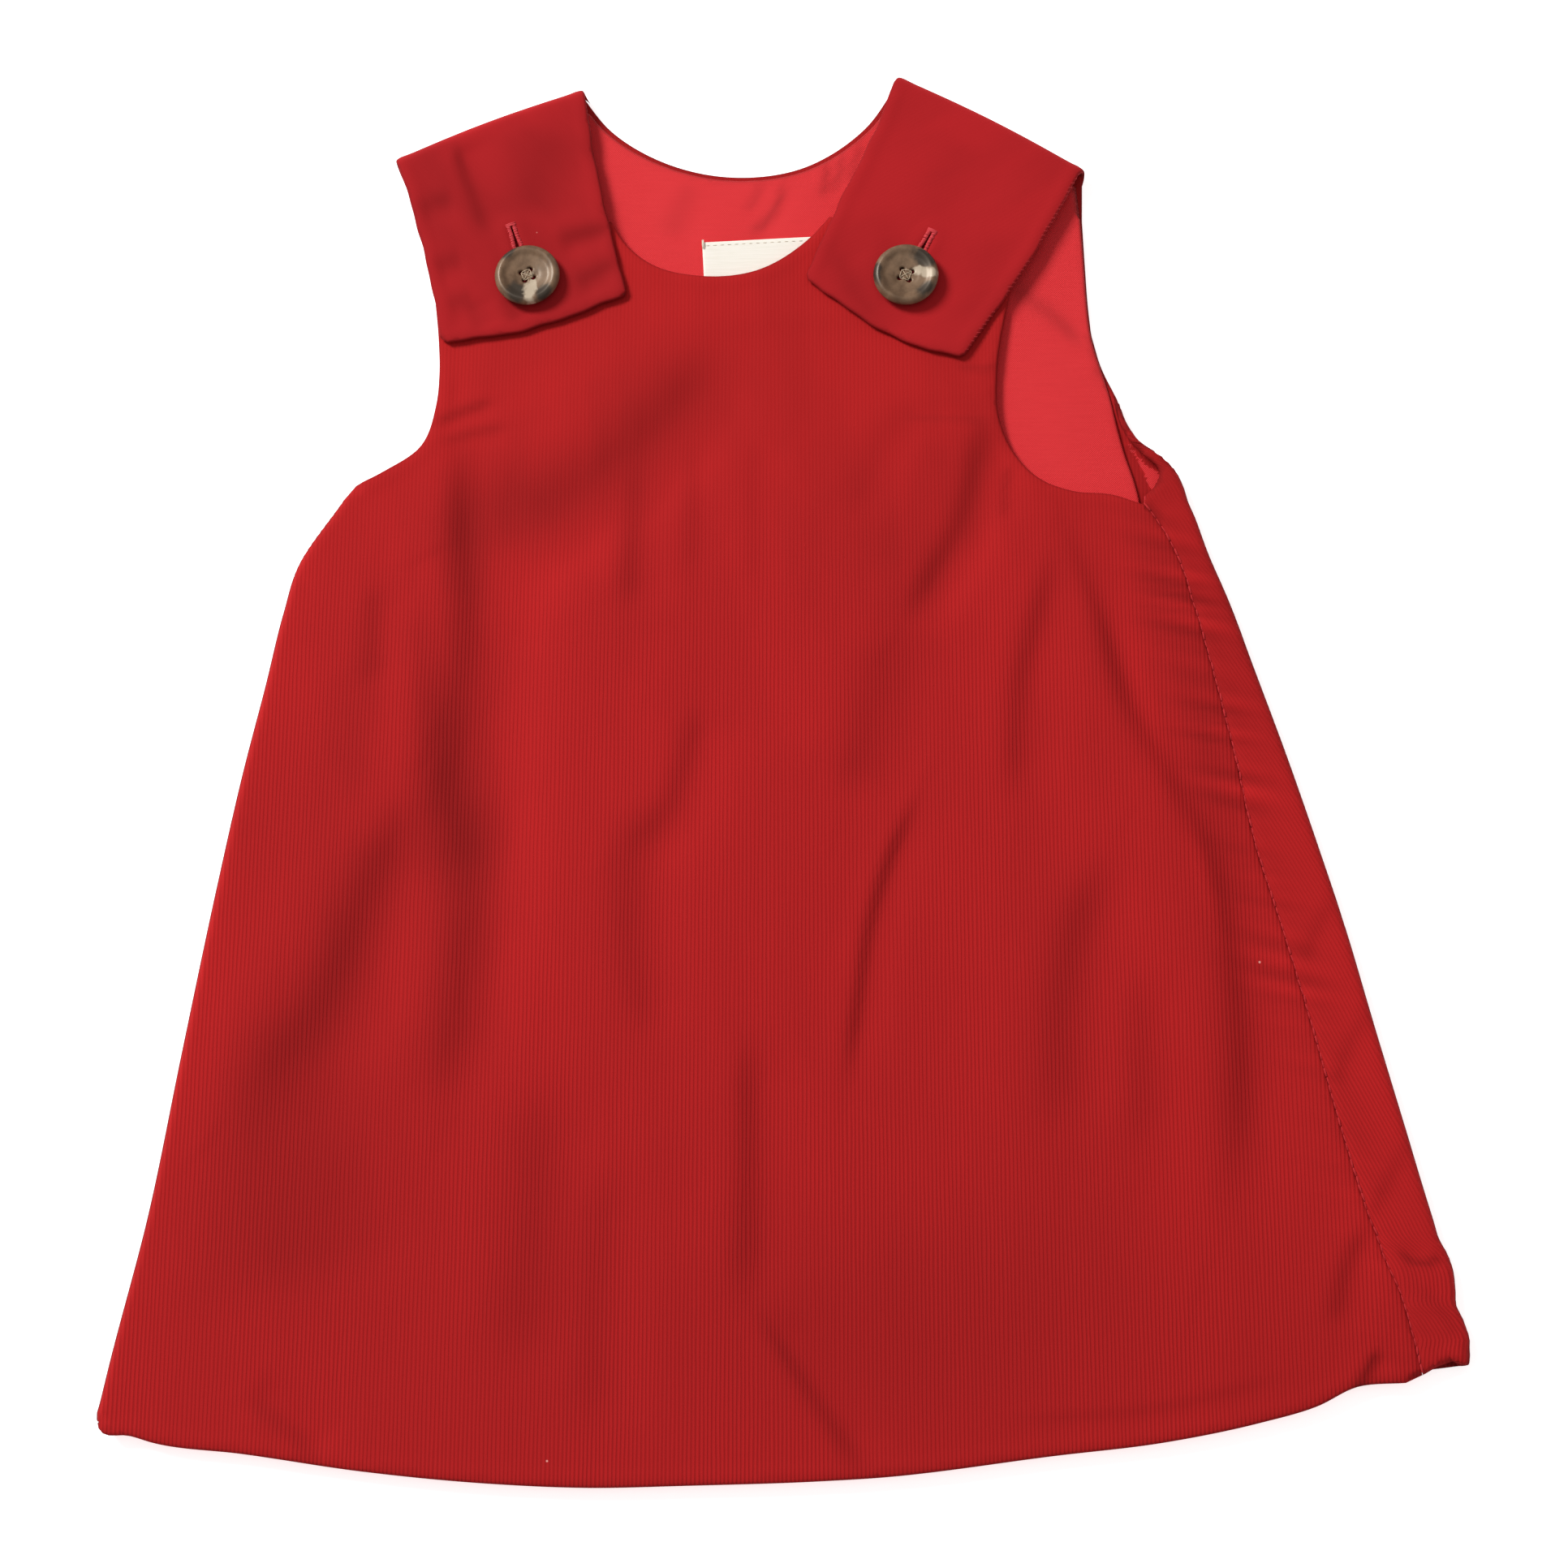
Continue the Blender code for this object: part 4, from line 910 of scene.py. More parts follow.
def buttonhole(strap):
    """The slit of a buttonhole, flat, from its foot above the button down past the button's middle."""
    foot = np.array(strap.hole_foot)
    along, across = two_ways(foot, strap.button)
    across = across * BUTTONHOLE_WIDE / 2
    steps = np.linspace(1.5, BUTTONHOLE_LONG - 1.5, 12)[:, None]
    there, back_up = foot + steps * along + across, foot + steps[::-1] * along - across
    return unfold(strap, np.vstack([there, back_up]))


def back_outline():
    """Flat outline of the back with both straps."""
    seam_y = stations(FRONT_HEM[0][1] + 0.5, LEFT_SEAM_TOP)
    seam_x = left_turn(seam_y)[0] + TURNED_UNDER + SEAM_GAP
    seam = np.column_stack([seam_x, seam_y])[1:]
    hem = curve([(x, y + HEM_SHORTER) for x, y in FRONT_HEM if seam_x[0] + 6 < x < 170])
    right_y = RIGHT_HEM[-1][1]
    hem_start, hem_radius = right_turn(right_y)
    band_hem_x = float(hem_start) + math.pi * float(hem_radius) * np.arange(TURN_ROWS + 1) / TURN_ROWS
    band_low = RIGHT_HEM[0][1] + 0.6
    band_hem = [(x, right_y) for x in band_hem_x]
    band_hem += [(band_hem_x[-1] + 2.5, right_y + 1.0), (band_hem_x[-1] + 7, right_y - 0.6)]
    band_y = np.concatenate([stations(band_low, SEAM_TOP), stations(SEAM_TOP, CURL_TOP)[1:]])
    band_x = right_turn(band_y)[0] + band_reach(band_y)
    right_strap = strap_outline(STRAPS["right"], False)
    left_strap = strap_outline(STRAPS["left"], True)
    return loop(
        seam[:1], hem, band_hem, np.column_stack([band_x, band_y]), curve(BACK_ARMHOLE_RIGHT)[1:],
        right_strap, curve(BACK_NECK)[1:-1], left_strap, curve(BACK_ARMHOLE_LEFT), seam[::-1])


def back(cord, smooth_cord, poplin):
    """The back with both straps, from the left seam to the right seam. Its outer face lies down."""
    outline = back_outline()
    turn = turn_rows(right_turn, stations(RIGHT_HEM[-1][1] + 3, CURL_TOP - 3), 1)
    turn = turn[inside(outline, turn[:, 0], turn[:, 1])]
    turn = turn[clearance(outline, turn[:, 0], turn[:, 1]) > RIM * 1.2]

    def on_floor(x, y):
        return (x < right_turn(y)[0] - COARSE / 2) & (y < SHOULDER)

    def on_band(x, y):
        start, radius = right_turn(y)
        return (x > start + math.pi * radius + FINE / 2) & (y < CURL_TOP)

    def under_arm(x, y):
        return (x > 98) & (x < right_turn(y)[0] - FINE / 2) & (y > 74) & (y < 124)

    def underarm_facing(x, y):
        """The end of the front's lining, which shows beside the rolled edge."""
        return inside(np.array(UNDERARM_FACING, float), x, y)

    points = np.vstack([
        net(outline, COARSE, lambda x, y: on_floor(x, y) & ~under_arm(x, y)), net(outline, 1.2, under_arm),
        turn, net(outline, FINE * 0.8, on_band),
        strap_points(outline, STRAPS["right"]), strap_points(outline, STRAPS["left"]),
    ])

    def on_straps(x, y):
        past = np.where(x > NECK_MIDDLE, past_fold(STRAPS["right"], x, y), past_fold(STRAPS["left"], x, y))
        return (past > -12) & (y > SHOULDER)

    # Painted shade: the straps' or the upper layer's creases and patches, on the turned sides too; painted
    # light on the underarm facing.
    def shade(x, y, z, upright):
        dark = np.where(y > CURL_TOP - 8, strap_shade(x, y), painted_upper_shade(x, y))
        dark = dark * ease(z, 1.5, 2.5) + side_shade(z, upright)
        return np.where(underarm_facing(x, y) & (z < 1.5), -0.2, dark)

    slits = [buttonhole(strap) for strap in STRAPS.values()]
    piece = cloth(
        "back_cloth", outline, points, lay_back, WALL, cord, cord, slits,
        raised=welt(0.22), flip=True, picks=[(smooth_cord, 0, on_straps), (poplin, 1, underarm_facing)],
        shade=shade)
    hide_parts("back")
    return piece, outline


def inset(points, distance):
    """A stretch of outline moved in, to the left of its way round."""
    return points + distance * headings(points)[1]


def lining_back(poplin):
    """The back lining, from the neck to just under the arms."""
    neck = inset(curve(BACK_NECK), EDGE_ROLL)
    arm = inset(curve(BACK_ARMHOLE_LEFT), EDGE_ROLL)
    corners = []
    for strap in (STRAPS["right"], STRAPS["left"]):
        corner, along, out, long, radius = strap_frame(strap)
        drop = out * (WALL / 2 + radius + EDGE_ROLL)
        outer = corner + along * (EDGE_ROLL - 1.3 * strap.spread[0]) - drop
        corners.append((outer, corner + along * (long - EDGE_ROLL) - drop))
    (right_outer, right_inner), (left_outer, left_inner) = corners
    neck = neck[(neck[:, 0] > left_inner[0] + EDGE_ROLL) & (neck[:, 0] < right_inner[0] - EDGE_ROLL)]
    low = curve([(LINING_LEFT, LINING_HEM), (0, LINING_HEM), LINING_RIGHT[0]])
    outline = loop(
        low, curve(LINING_RIGHT)[1:], curve([right_outer, right_inner]), neck,
        curve([left_inner, left_outer]), arm[1:])
    piece = cloth(
        "lining_back_cloth", outline, net(outline, FINE), lay_lining, LINING_WALL, poplin, poplin,
        # Painted shade along the lining's creases.
        shade=lambda x, y, z, upright: creased(LINING_CREASES, x, y)[1])
    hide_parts("lining_back")
    return piece, outline


def label(finish):
    """The woven label, bare, sewn to the lining at the back neck."""
    corner = np.array(LABEL_CORNER)
    far = corner + LABEL_WIDE * LABEL_ALONG
    drop = LABEL_TALL * LABEL_DOWN
    sides = ((corner, corner + drop), (corner + drop, far + drop), (far + drop, far), (far, corner))
    outline = loop(*[curve(side, 1) for side in sides])
    piece = cloth("label_cloth", outline, net(outline, 1.5), lay_label, LABEL_WALL, finish, finish)
    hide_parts("label")
    return piece, outline


# Sewing.
def add_bars(shape, bars, sides):
    """Short rounded stitches: each goes from a start to an end, arched up by lift, with a radius."""
    for start, end, radius, lift in bars:
        start, end = np.array(start, float), np.array(end, float)
        way = end - start
        long = np.linalg.norm(way)
        way = way / long
        across = np.cross(way, (0, 0, 1))
        across /= max(np.linalg.norm(across), 1e-9)
        up = np.cross(across, way)
        rings = []
        for t, scale in ((0.0, 0.35), (0.12, 0.85), (0.5, 1.0), (0.88, 0.85), (1.0, 0.35)):
            middle = start + way * long * t + up * lift * math.sin(math.pi * t)
            ring = []
            for k in range(sides):
                angle = 2 * math.pi * k / sides
                spot = middle + radius * scale * (across * math.cos(angle) + up * math.sin(angle))
                ring.append(shape.verts.new(spot * MM))
            rings.append(ring)
        for one, two in zip(rings, rings[1:]):
            for k in range(sides):
                shape.faces.new((one[k], one[(k + 1) % sides], two[(k + 1) % sides], two[k]))
        shape.faces.new(rings[0][::-1])
        shape.faces.new(rings[-1])


def to_mesh(name, shape, finish):
    """A smooth mesh of one material from an edited shape."""
    bmesh.ops.recalc_face_normals(shape, faces=shape.faces)
    for face in shape.faces:
        face.smooth = True
    mesh = bpy.data.meshes.new(name)
    shape.to_mesh(mesh)
    shape.free()
    mesh.materials.append(finish)
    return mesh


def stitches(name, bars, finish, sides=6):
    shape = bmesh.new()
    add_bars(shape, bars, sides)
    piece = new_piece(name, to_mesh(name, shape, finish))
    return piece


def buttonhole_stitches(side, thread):
    """Two legs of close satin stitches beside a buttonhole's slit, and a bar across its foot."""
    strap = STRAPS[side]
    foot = np.array(strap.hole_foot)
    along, across = two_ways(foot, strap.button)
    seed = np.random.default_rng(5 if side == "left" else 9)
    bars = []

    def on_strap(spot, lift=0.08):
        return (*spot, float(strap_height(*spot)) + WALL / 2 + lift)

    for step in np.arange(0.6, BUTTONHOLE_LONG - 0.6, 0.42):
        splay = 0.35 * ease(step, 3, 9)
        for leg in (-1, 1):
            inner = foot + along * (step + seed.uniform(-0.08, 0.08)) + across * leg * (0.2 + splay)
            outer = inner + across * leg * (1.35 + seed.uniform(-0.15, 0.15))
            outer = outer + along * seed.uniform(-0.12, 0.12)
            bars.append((on_strap(inner), on_strap(outer), 0.27, 0.16))
    for step in np.arange(-0.3, 0.7, 0.35):
        start = foot + along * step - across * 1.75
        end = foot + along * (step + seed.uniform(-0.2, 0.2)) + across * 1.75
        bars.append((on_strap(start, 0.2), on_strap(end, 0.2), 0.27, 0.2))
    return stitches(f"buttonhole_{side}_stitches", bars, thread)


def side_seam_stitches(thread):
    """Close stitches along the right side seam, sunk between the two edges. A few stand out."""
    seed = np.random.default_rng(11)
    bars = []
    for y in np.arange(RIGHT_HEM[0][1] + 1.2, SEAM_TOP - 1, 2.5):
        ends = []
        proud = 0.35 if seed.uniform() < 0.2 else 0.05
        for at in (y, y + 2.7):
            x = float(right_seam(at))
            ends.append((x + seed.uniform(-0.2, 0.2), at, float(top_height(x, at)) + proud))
        bars.append((*ends, 0.38, 0.15))
    return stitches("side_seam_stitches", bars, thread)


def strap_edge_stitches(thread):
    """Slanting stitches over the right strap's outer edge."""
    strap = STRAPS["right"]
    edge = curve([strap.outer_corner, *strap.outer_edge], 1.75)[2:-1]
    seed = np.random.default_rng(17)
    bars = []
    for (x, y), (dx, dy) in zip(edge, headings(edge)[0]):
        long = 1.5 + seed.uniform(-0.2, 0.2)
        inner = (x + dy * long + dx * 1.0, y - dx * long + dy * 1.0)
        outer = (x - dy * 0.1 - dx * 0.3, y + dx * 0.1 - dy * 0.3)
        top = float(strap_height(*inner)) + WALL / 2
        bars.append(((*inner, top - 0.02), (*outer, top - 0.4), 0.17, 0.1))
    return stitches("strap_edge_stitches", bars, thread)


def label_stitches(thread):
    """Small stitches along the label's upper edge, and a caught end at its corner."""
    corner = np.array(LABEL_CORNER)
    bars = []
    for step in np.arange(1.2, LABEL_WIDE - 2, 2.3):
        start = corner + LABEL_ALONG * step + LABEL_DOWN * 1.3
        end = start + LABEL_ALONG * 1.2
        top = label_height(start[0]) + LABEL_WALL / 2
        bars.append(((*start, top), (*end, top), 0.13, 0.1))
    for step in (0.1, 0.45):
        start = corner + LABEL_ALONG * step - LABEL_DOWN * 0.8
        end = start + LABEL_DOWN * 3.2
        bars.append(((*start, LABEL_LAYER + 0.2), (*end, LABEL_LAYER + 0.35), 0.2, 0.3))
    return stitches("label_stitches", bars, thread)


# Buttons.
BUTTON_TOP = (
    (0.0, 1.75), (2.4, 1.78), (3.6, 1.85), (4.4, 2.06), (5.4, 2.2), (6.6, 2.32), (7.3, 2.62), (8.0, 3.02),
    (8.7, 3.18), (9.3, 3.02), (9.9, 2.55), (10.25, 2.05), (10.4, 1.6),
)
BUTTON_UNDER = ((0.0, 0.0), (8.0, 0.0), (9.3, 0.3), (10.1, 0.85), (10.4, 1.6))
BUTTON_RADIUS = 10.4
HOLE_RADIUS = 0.85
ROUND = 72                 # points round a button
HORN_REACH = 0.0105        # metres from a button's middle that its pattern takes as 1
HOLES = {
    "left": ((0.8, 2.0), (-1.95, 0.8), (1.95, -0.8), (-0.75, -1.9)),
    "right": ((-1.1, 1.8), (2.0, 1.1), (-2.0, -1.1), (1.0, -1.9)),
}
# How much a button rises for each mm to the right and up.
TILT = {"left": (0.035, -0.02), "right": (0.03, 0.015)}


def profile(rows, radius):
    """Height of a turned outline at a distance from its middle."""
    table = np.array(rows)
    return np.interp(radius, table[:, 0], table[:, 1])


def circle(radius, number, middle=(0, 0)):
    angles = 2 * math.pi * np.arange(number) / number
    return np.column_stack([np.cos(angles), np.sin(angles)]) * radius + middle


def button(side, horn):
    """A turned horn-look button with a rounded rim, a dished middle and four holes."""
    low, high = (np.array(corner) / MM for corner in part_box(f"button_{side}"))
    middle = (low + high) / 2
    outline = circle(BUTTON_RADIUS, ROUND)
    holes = [circle(HOLE_RADIUS, ROUND // 6, spot) for spot in HOLES[side]]
    rings = [circle(r, ROUND) for r in (10.32, 10.1, 9.8, 9.5, 9.1, 8.7, 8.3, 7.9, 7.5, 7.1, 6.7, 6.2, 5.6)]
    rings += [circle(r, ROUND // 2) for r in (5.0, 4.5, 4.1, 3.7, 3.3)]
    rings += [
        circle(HOLE_RADIUS + more, ROUND // 3, spot) for spot in HOLES[side] for more in (0.1, 0.25, 0.45)]
    free = np.vstack([*rings, [(0, 0), (0.4, 0.3), (-0.4, -0.3)]])
    keep = in_cut(outline, holes, free[:, 0], free[:, 1])
    keep &= nearest(holes, free[:, 0], free[:, 1]) > 0.05
    flat, faces = triangles(outline, holes, free[keep])
    radius = np.hypot(flat[:, 0], flat[:, 1])
    top = profile(BUTTON_TOP, radius)
    under = profile(BUTTON_UNDER, radius)
    for spot in HOLES[side]:
        edge = np.hypot(flat[:, 0] - spot[0], flat[:, 1] - spot[1]) - HOLE_RADIUS
        top = top - 0.28 * (1 - ease(edge, 0, 0.35))
    count = len(flat)
    co = np.vstack([np.column_stack([flat, top]), np.column_stack([flat, under])])
    tilt = TILT[side]
    co[:, 2] += co[:, 0] * tilt[0] + co[:, 1] * tilt[1]
    co[:, 2] += low[2] - co[:, 2].min() + 0.05
    co[:, :2] += middle[:2]

    shape = bmesh.new()
    made = [shape.verts.new(p * MM) for p in co]
    for a, b, c in faces:
        shape.faces.new((made[a], made[b], made[c]))
        shape.faces.new((made[c + count], made[b + count], made[a + count]))
    first = 0
    for one in [outline, *holes]:
        for i in range(len(one)):
            a, b = first + i, first + (i + 1) % len(one)
            shape.faces.new((made[a], made[b], made[b + count], made[a + count]))
        first += len(one)
    bmesh.ops.remove_doubles(shape, verts=shape.verts, dist=1e-6)
    name = f"button_{side}_turned"
    piece = new_piece(name, to_mesh(name, shape, horn))
    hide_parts(f"button_{side}")

    def on_button(spot):
        height = float(profile(BUTTON_TOP, math.hypot(*spot))) + spot[0] * tilt[0] + spot[1] * tilt[1]
        return np.array((middle[0] + spot[0], middle[1] + spot[1], height + co[:, 2].min() + 0.42))

    return on_button


def button_threads(side, on_button, thread):
    """Loops of thread that cross the button from hole to hole."""
    seed = np.random.default_rng(3 if side == "left" else 4)
    bars = []
    holes = [np.array(spot) for spot in HOLES[side]]
    sunk = (0, 0, 0.35)
    for a, b in ((0, 3), (1, 2), (0, 1), (2, 3), (0, 2), (1, 3)):
        way = holes[b] - holes[a]
        across = np.array((-way[1], way[0])) / np.linalg.norm(way)
        start = holes[a] - across * 0.1 + way * 0.02
        end = holes[b] + across * (seed.uniform(-0.1, 0.1) - 0.1) - way * 0.02
        bars.append((on_button(start) - sunk, on_button(end) - sunk, 0.17, 0.3))
    return stitches(f"button_{side}_threads", bars, thread, sides=8)


# Materials. Each effect that several materials share is a node group. A value in a tree is (node, output).
def link(tree, value, socket):
    tree.links.new(value[0].outputs[value[1]], socket)


def maths(tree, kind, *values):
    """A maths node: its inputs are numbers or values in the tree."""
    node = tree.nodes.new("ShaderNodeMath")
    node.operation = kind
    for socket, value in zip(node.inputs, values):
        if isinstance(value, tuple):
            link(tree, value, socket)
        else:
            socket.default_value = value
    return (node, 0)


def noise(tree, vector, scale, detail=2.0, rough=0.5):
    node = tree.nodes.new("ShaderNodeTexNoise")
    for name, number in (("Scale", scale), ("Detail", detail), ("Roughness", rough)):
        node.inputs[name].default_value = number
    link(tree, vector, node.inputs["Vector"])
    return (node, "Fac")


def spread(tree, value, low, high, to_low=0.0, to_high=1.0, smooth=True):
    """A value's range laid over another range."""
    node = tree.nodes.new("ShaderNodeMapRange")
    node.interpolation_type = "SMOOTHSTEP" if smooth else "LINEAR"
    for name, number in (("From Min", low), ("From Max", high), ("To Min", to_low), ("To Max", to_high)):
        node.inputs[name].default_value = number
    link(tree, value, node.inputs["Value"])
    return (node, "Result")


def mix_colors(tree, factor, a, b, kind="MIX"):
    """Colour a turned into b by a factor. Each is a color or a value in the tree."""
    node = tree.nodes.new("ShaderNodeMix")
    node.data_type = "RGBA"
    node.blend_type = kind
    for socket, value in ((0, factor), (6, a), (7, b)):
        if len(value) == 2:
            link(tree, value, node.inputs[socket])
        else:
            node.inputs[socket].default_value = (*value, 1)
    return (node, 2)


def flat_map(tree):
    node = tree.nodes.new("ShaderNodeUVMap")
    node.uv_map = "flat"
    return (node, 0)


def stretched(tree, vector, scale):
    """A map squeezed so that what is drawn on it comes out stretched."""
    node = tree.nodes.new("ShaderNodeMapping")
    node.inputs["Scale"].default_value = scale
    link(tree, vector, node.inputs["Vector"])
    return (node, 0)


def split(tree, vector):
    """The three parts of a place."""
    node = tree.nodes.new("ShaderNodeSeparateXYZ")
    link(tree, vector, node.inputs[0])
    return [(node, part) for part in range(3)]


def new_group(name, given, number, *results):
    """A node group with one value going in, and values coming out."""
    group = bpy.data.node_groups.new(name, "ShaderNodeTree")
    socket = group.interface.new_socket(given, in_out="INPUT", socket_type="NodeSocketFloat")
    socket.default_value = number
    for result in results:
        group.interface.new_socket(result, in_out="OUTPUT", socket_type="NodeSocketFloat")
    return group, (group.nodes.new("NodeGroupInput"), 0), group.nodes.new("NodeGroupOutput").inputs


def wales_group():
    """Ribs of needlecord along the flat y: their height, and a mask that is 1 on top and 0 in the grooves."""
    group, pitch, result = new_group("wales", "Pitch", WALE_PITCH, "Height", "Ridge")
    spot = flat_map(group)
    wander = noise(group, stretched(group, spot, (0.9, 0.12, 1)), 0.35)
    wander = spread(group, wander, 0, 1, -0.35, 0.35, smooth=False)
    turns = maths(group, "DIVIDE", maths(group, "ADD", split(group, spot)[0], wander), pitch)
    ridge = spread(group, maths(group, "SINE", maths(group, "MULTIPLY", turns, 2 * math.pi)), -0.9, 0.7)
    pile = maths(group, "MULTIPLY", noise(group, spot, 3.5, 3, 0.6), 0.25)
    link(group, maths(group, "ADD", ridge, pile), result["Height"])
    link(group, ridge, result["Ridge"])
    return group


def weave_group():
    """Plain weave: threads that pass over and under each other, and their uneven thickness."""
    group, pitch, result = new_group("plain weave", "Pitch", 0.35, "Height", "Slub")
    spot = flat_map(group)
    warp, weft = (
        maths(group, "SINE", maths(group, "MULTIPLY", maths(group, "DIVIDE", part, pitch), math.pi))
        for part in split(group, spot)[:2])
    link(group, maths(group, "MULTIPLY", warp, weft), result["Height"])
    link(group, noise(group, stretched(group, spot, (0.1, 1.6, 1)), 1.0), result["Slub"])
    return group


def nap_group():
    """Patches where the pile leans another way, and specks of lint."""
    group, patch, result = new_group("nap and lint", "Patch", NAP_PATCH, "Nap", "Lint")
    spot = flat_map(group)
    broad = noise(group, stretched(group, spot, (1.8, 0.6, 1)), NAP_PATCH, 4)
    link(group, patch, broad[0].inputs["Scale"])
    link(group, broad, result["Nap"])
    cells = group.nodes.new("ShaderNodeTexVoronoi")
    cells.inputs["Scale"].default_value = 0.03
    link(group, spot, cells.inputs["Vector"])
    link(group, spread(group, (cells, "Distance"), 0.006, 0.014, 1, 0), result["Lint"])
    return group


def add_group(tree, group, number):
    node = tree.nodes.new("ShaderNodeGroup")
    node.node_tree = group
    node.inputs[0].default_value = number
    return node


def painted_shade_value(tree):
    """The painted light and shade that the cloth piece keeps in its attribute "pile"."""
    node = tree.nodes.new("ShaderNodeAttribute")
    node.attribute_name = "pile"
    return (node, "Fac")


def new_material(name, rough, specular, sheen=0.0, sheen_tint=(1, 1, 1)):
    made = bpy.data.materials.new(name)
    made.use_nodes = True
    shader = made.node_tree.nodes["Principled BSDF"]
    for socket, value in (
            ("Roughness", rough), ("Specular IOR Level", specular), ("Sheen Weight", sheen),
            ("Sheen Roughness", 0.5), ("Sheen Tint", (*sheen_tint, 1))):
        shader.inputs[socket].default_value = value
    return made, made.node_tree, shader


def raise_surface(tree, shader, height, distance):
    """A fine relief, its height given in mm."""
    bump = tree.nodes.new("ShaderNodeBump")
    bump.inputs["Distance"].default_value = distance * MM
    bump.inputs["Strength"].default_value = 1.0
    link(tree, height, bump.inputs["Height"])
    link(tree, (bump, 0), shader.inputs["Normal"])


def needlecord(name, groups, wale_groove_shade, face=(0.46, 0.0125, 0.0135), relief=0.09):
    """Red needlecord, darkened by the painted shade in its piece's attribute "pile". Its third argument is
    how strongly painted shade darkens the wale grooves: less in the bodice, and uneven with the nap.
    """
    made, tree, shader = new_material(name, 0.85, 0.12, 0.15, (0.9, 0.05, 0.05))
    wales = add_group(tree, groups["wales"], WALE_PITCH)
    nap = add_group(tree, groups["nap"], NAP_PATCH)
    patches = spread(tree, (nap, "Nap"), 0.4, 0.6, -0.13, 0.13)
    # Painted light and shade: the piece's "pile" value, with the random nap tone, moves the colour between
    # 1.14 and 0.295 of the face colour.
    dark = maths(tree, "ADD", painted_shade_value(tree), patches)
    dark = spread(tree, dark, MOST_PAINTED_LIGHT, MOST_PAINTED_SHADE, smooth=False)
    ground = mix_colors(tree, dark, tuple(1.14 * c for c in face), tuple(0.295 * c for c in face))
    height = split(tree, flat_map(tree))[1]
    # Painted shade in the wale grooves, stronger towards the hem and uneven with the nap.
    lower = spread(tree, height, -190, 100, 1.35, 0.35)
    showing = maths(tree, "MULTIPLY", spread(tree, (nap, "Nap"), 0.4, 0.6, 1.4 * wale_groove_shade, 0.5 * wale_groove_shade), lower)
    groove = maths(tree, "MULTIPLY", maths(tree, "SUBTRACT", 1.0, (wales, "Ridge")), showing)
    ribbed = mix_colors(tree, groove, ground, (0.5, 0.5, 0.5), "MULTIPLY")
    linted = mix_colors(tree, (nap, "Lint"), ribbed, (0.8, 0.35, 0.3))
    link(tree, linted, shader.inputs["Base Color"])
    pressed = spread(tree, height, 20, 110, 1.0, 0.3)
    raise_surface(tree, shader, maths(tree, "MULTIPLY", (wales, "Height"), pressed), relief)
    return made


def woven(groups, name, finish, pitch, colors, relief):
    """A plain weave whose threads run between two colours. Gives its own colour too, not yet linked."""
    made, tree, shader = new_material(name, *finish)
    weave = add_group(tree, groups["weave"], pitch)
    color = mix_colors(tree, spread(tree, (weave, "Slub"), 0.3, 0.7), *colors)
    raise_surface(tree, shader, (weave, "Height"), relief)
    return made, tree, shader, color


def poplin_lining(groups):
    made, tree, shader, plain = woven(
        groups, "red poplin", (0.7, 0.3, 0.1, (1, 0.2, 0.2)), 0.35,
        ((0.70, 0.020, 0.026), (0.72, 0.023, 0.029)), 0.05)
    # Painted shade along the lining's creases, from its "pile" value.
    color = mix_colors(tree, painted_shade_value(tree), plain, (0.42, 0.011, 0.014))
    link(tree, color, shader.inputs["Base Color"])
    return made


def label_weave(groups):
    made, tree, shader, color = woven(
        groups, "cream woven label", (0.6, 0.5, 0.15), 0.28, ((0.88, 0.83, 0.73), (0.92, 0.87, 0.78)), 0.02)
    link(tree, color, shader.inputs["Base Color"])
    return made


def sewing_thread(name, color, rough=0.6):
    """Twisted thread, a little darker and lighter along its strands."""
    made, tree, shader = new_material(name, rough, 0.2, 0.1, color)
    place = tree.nodes.new("ShaderNodeTexCoord")
    twist = noise(tree, (place, "Object"), 2500)
    tone = mix_colors(tree, twist, tuple(0.75 * c for c in color), tuple(min(1, 1.2 * c) for c in color))
    link(tree, tone, shader.inputs["Base Color"])
    return made


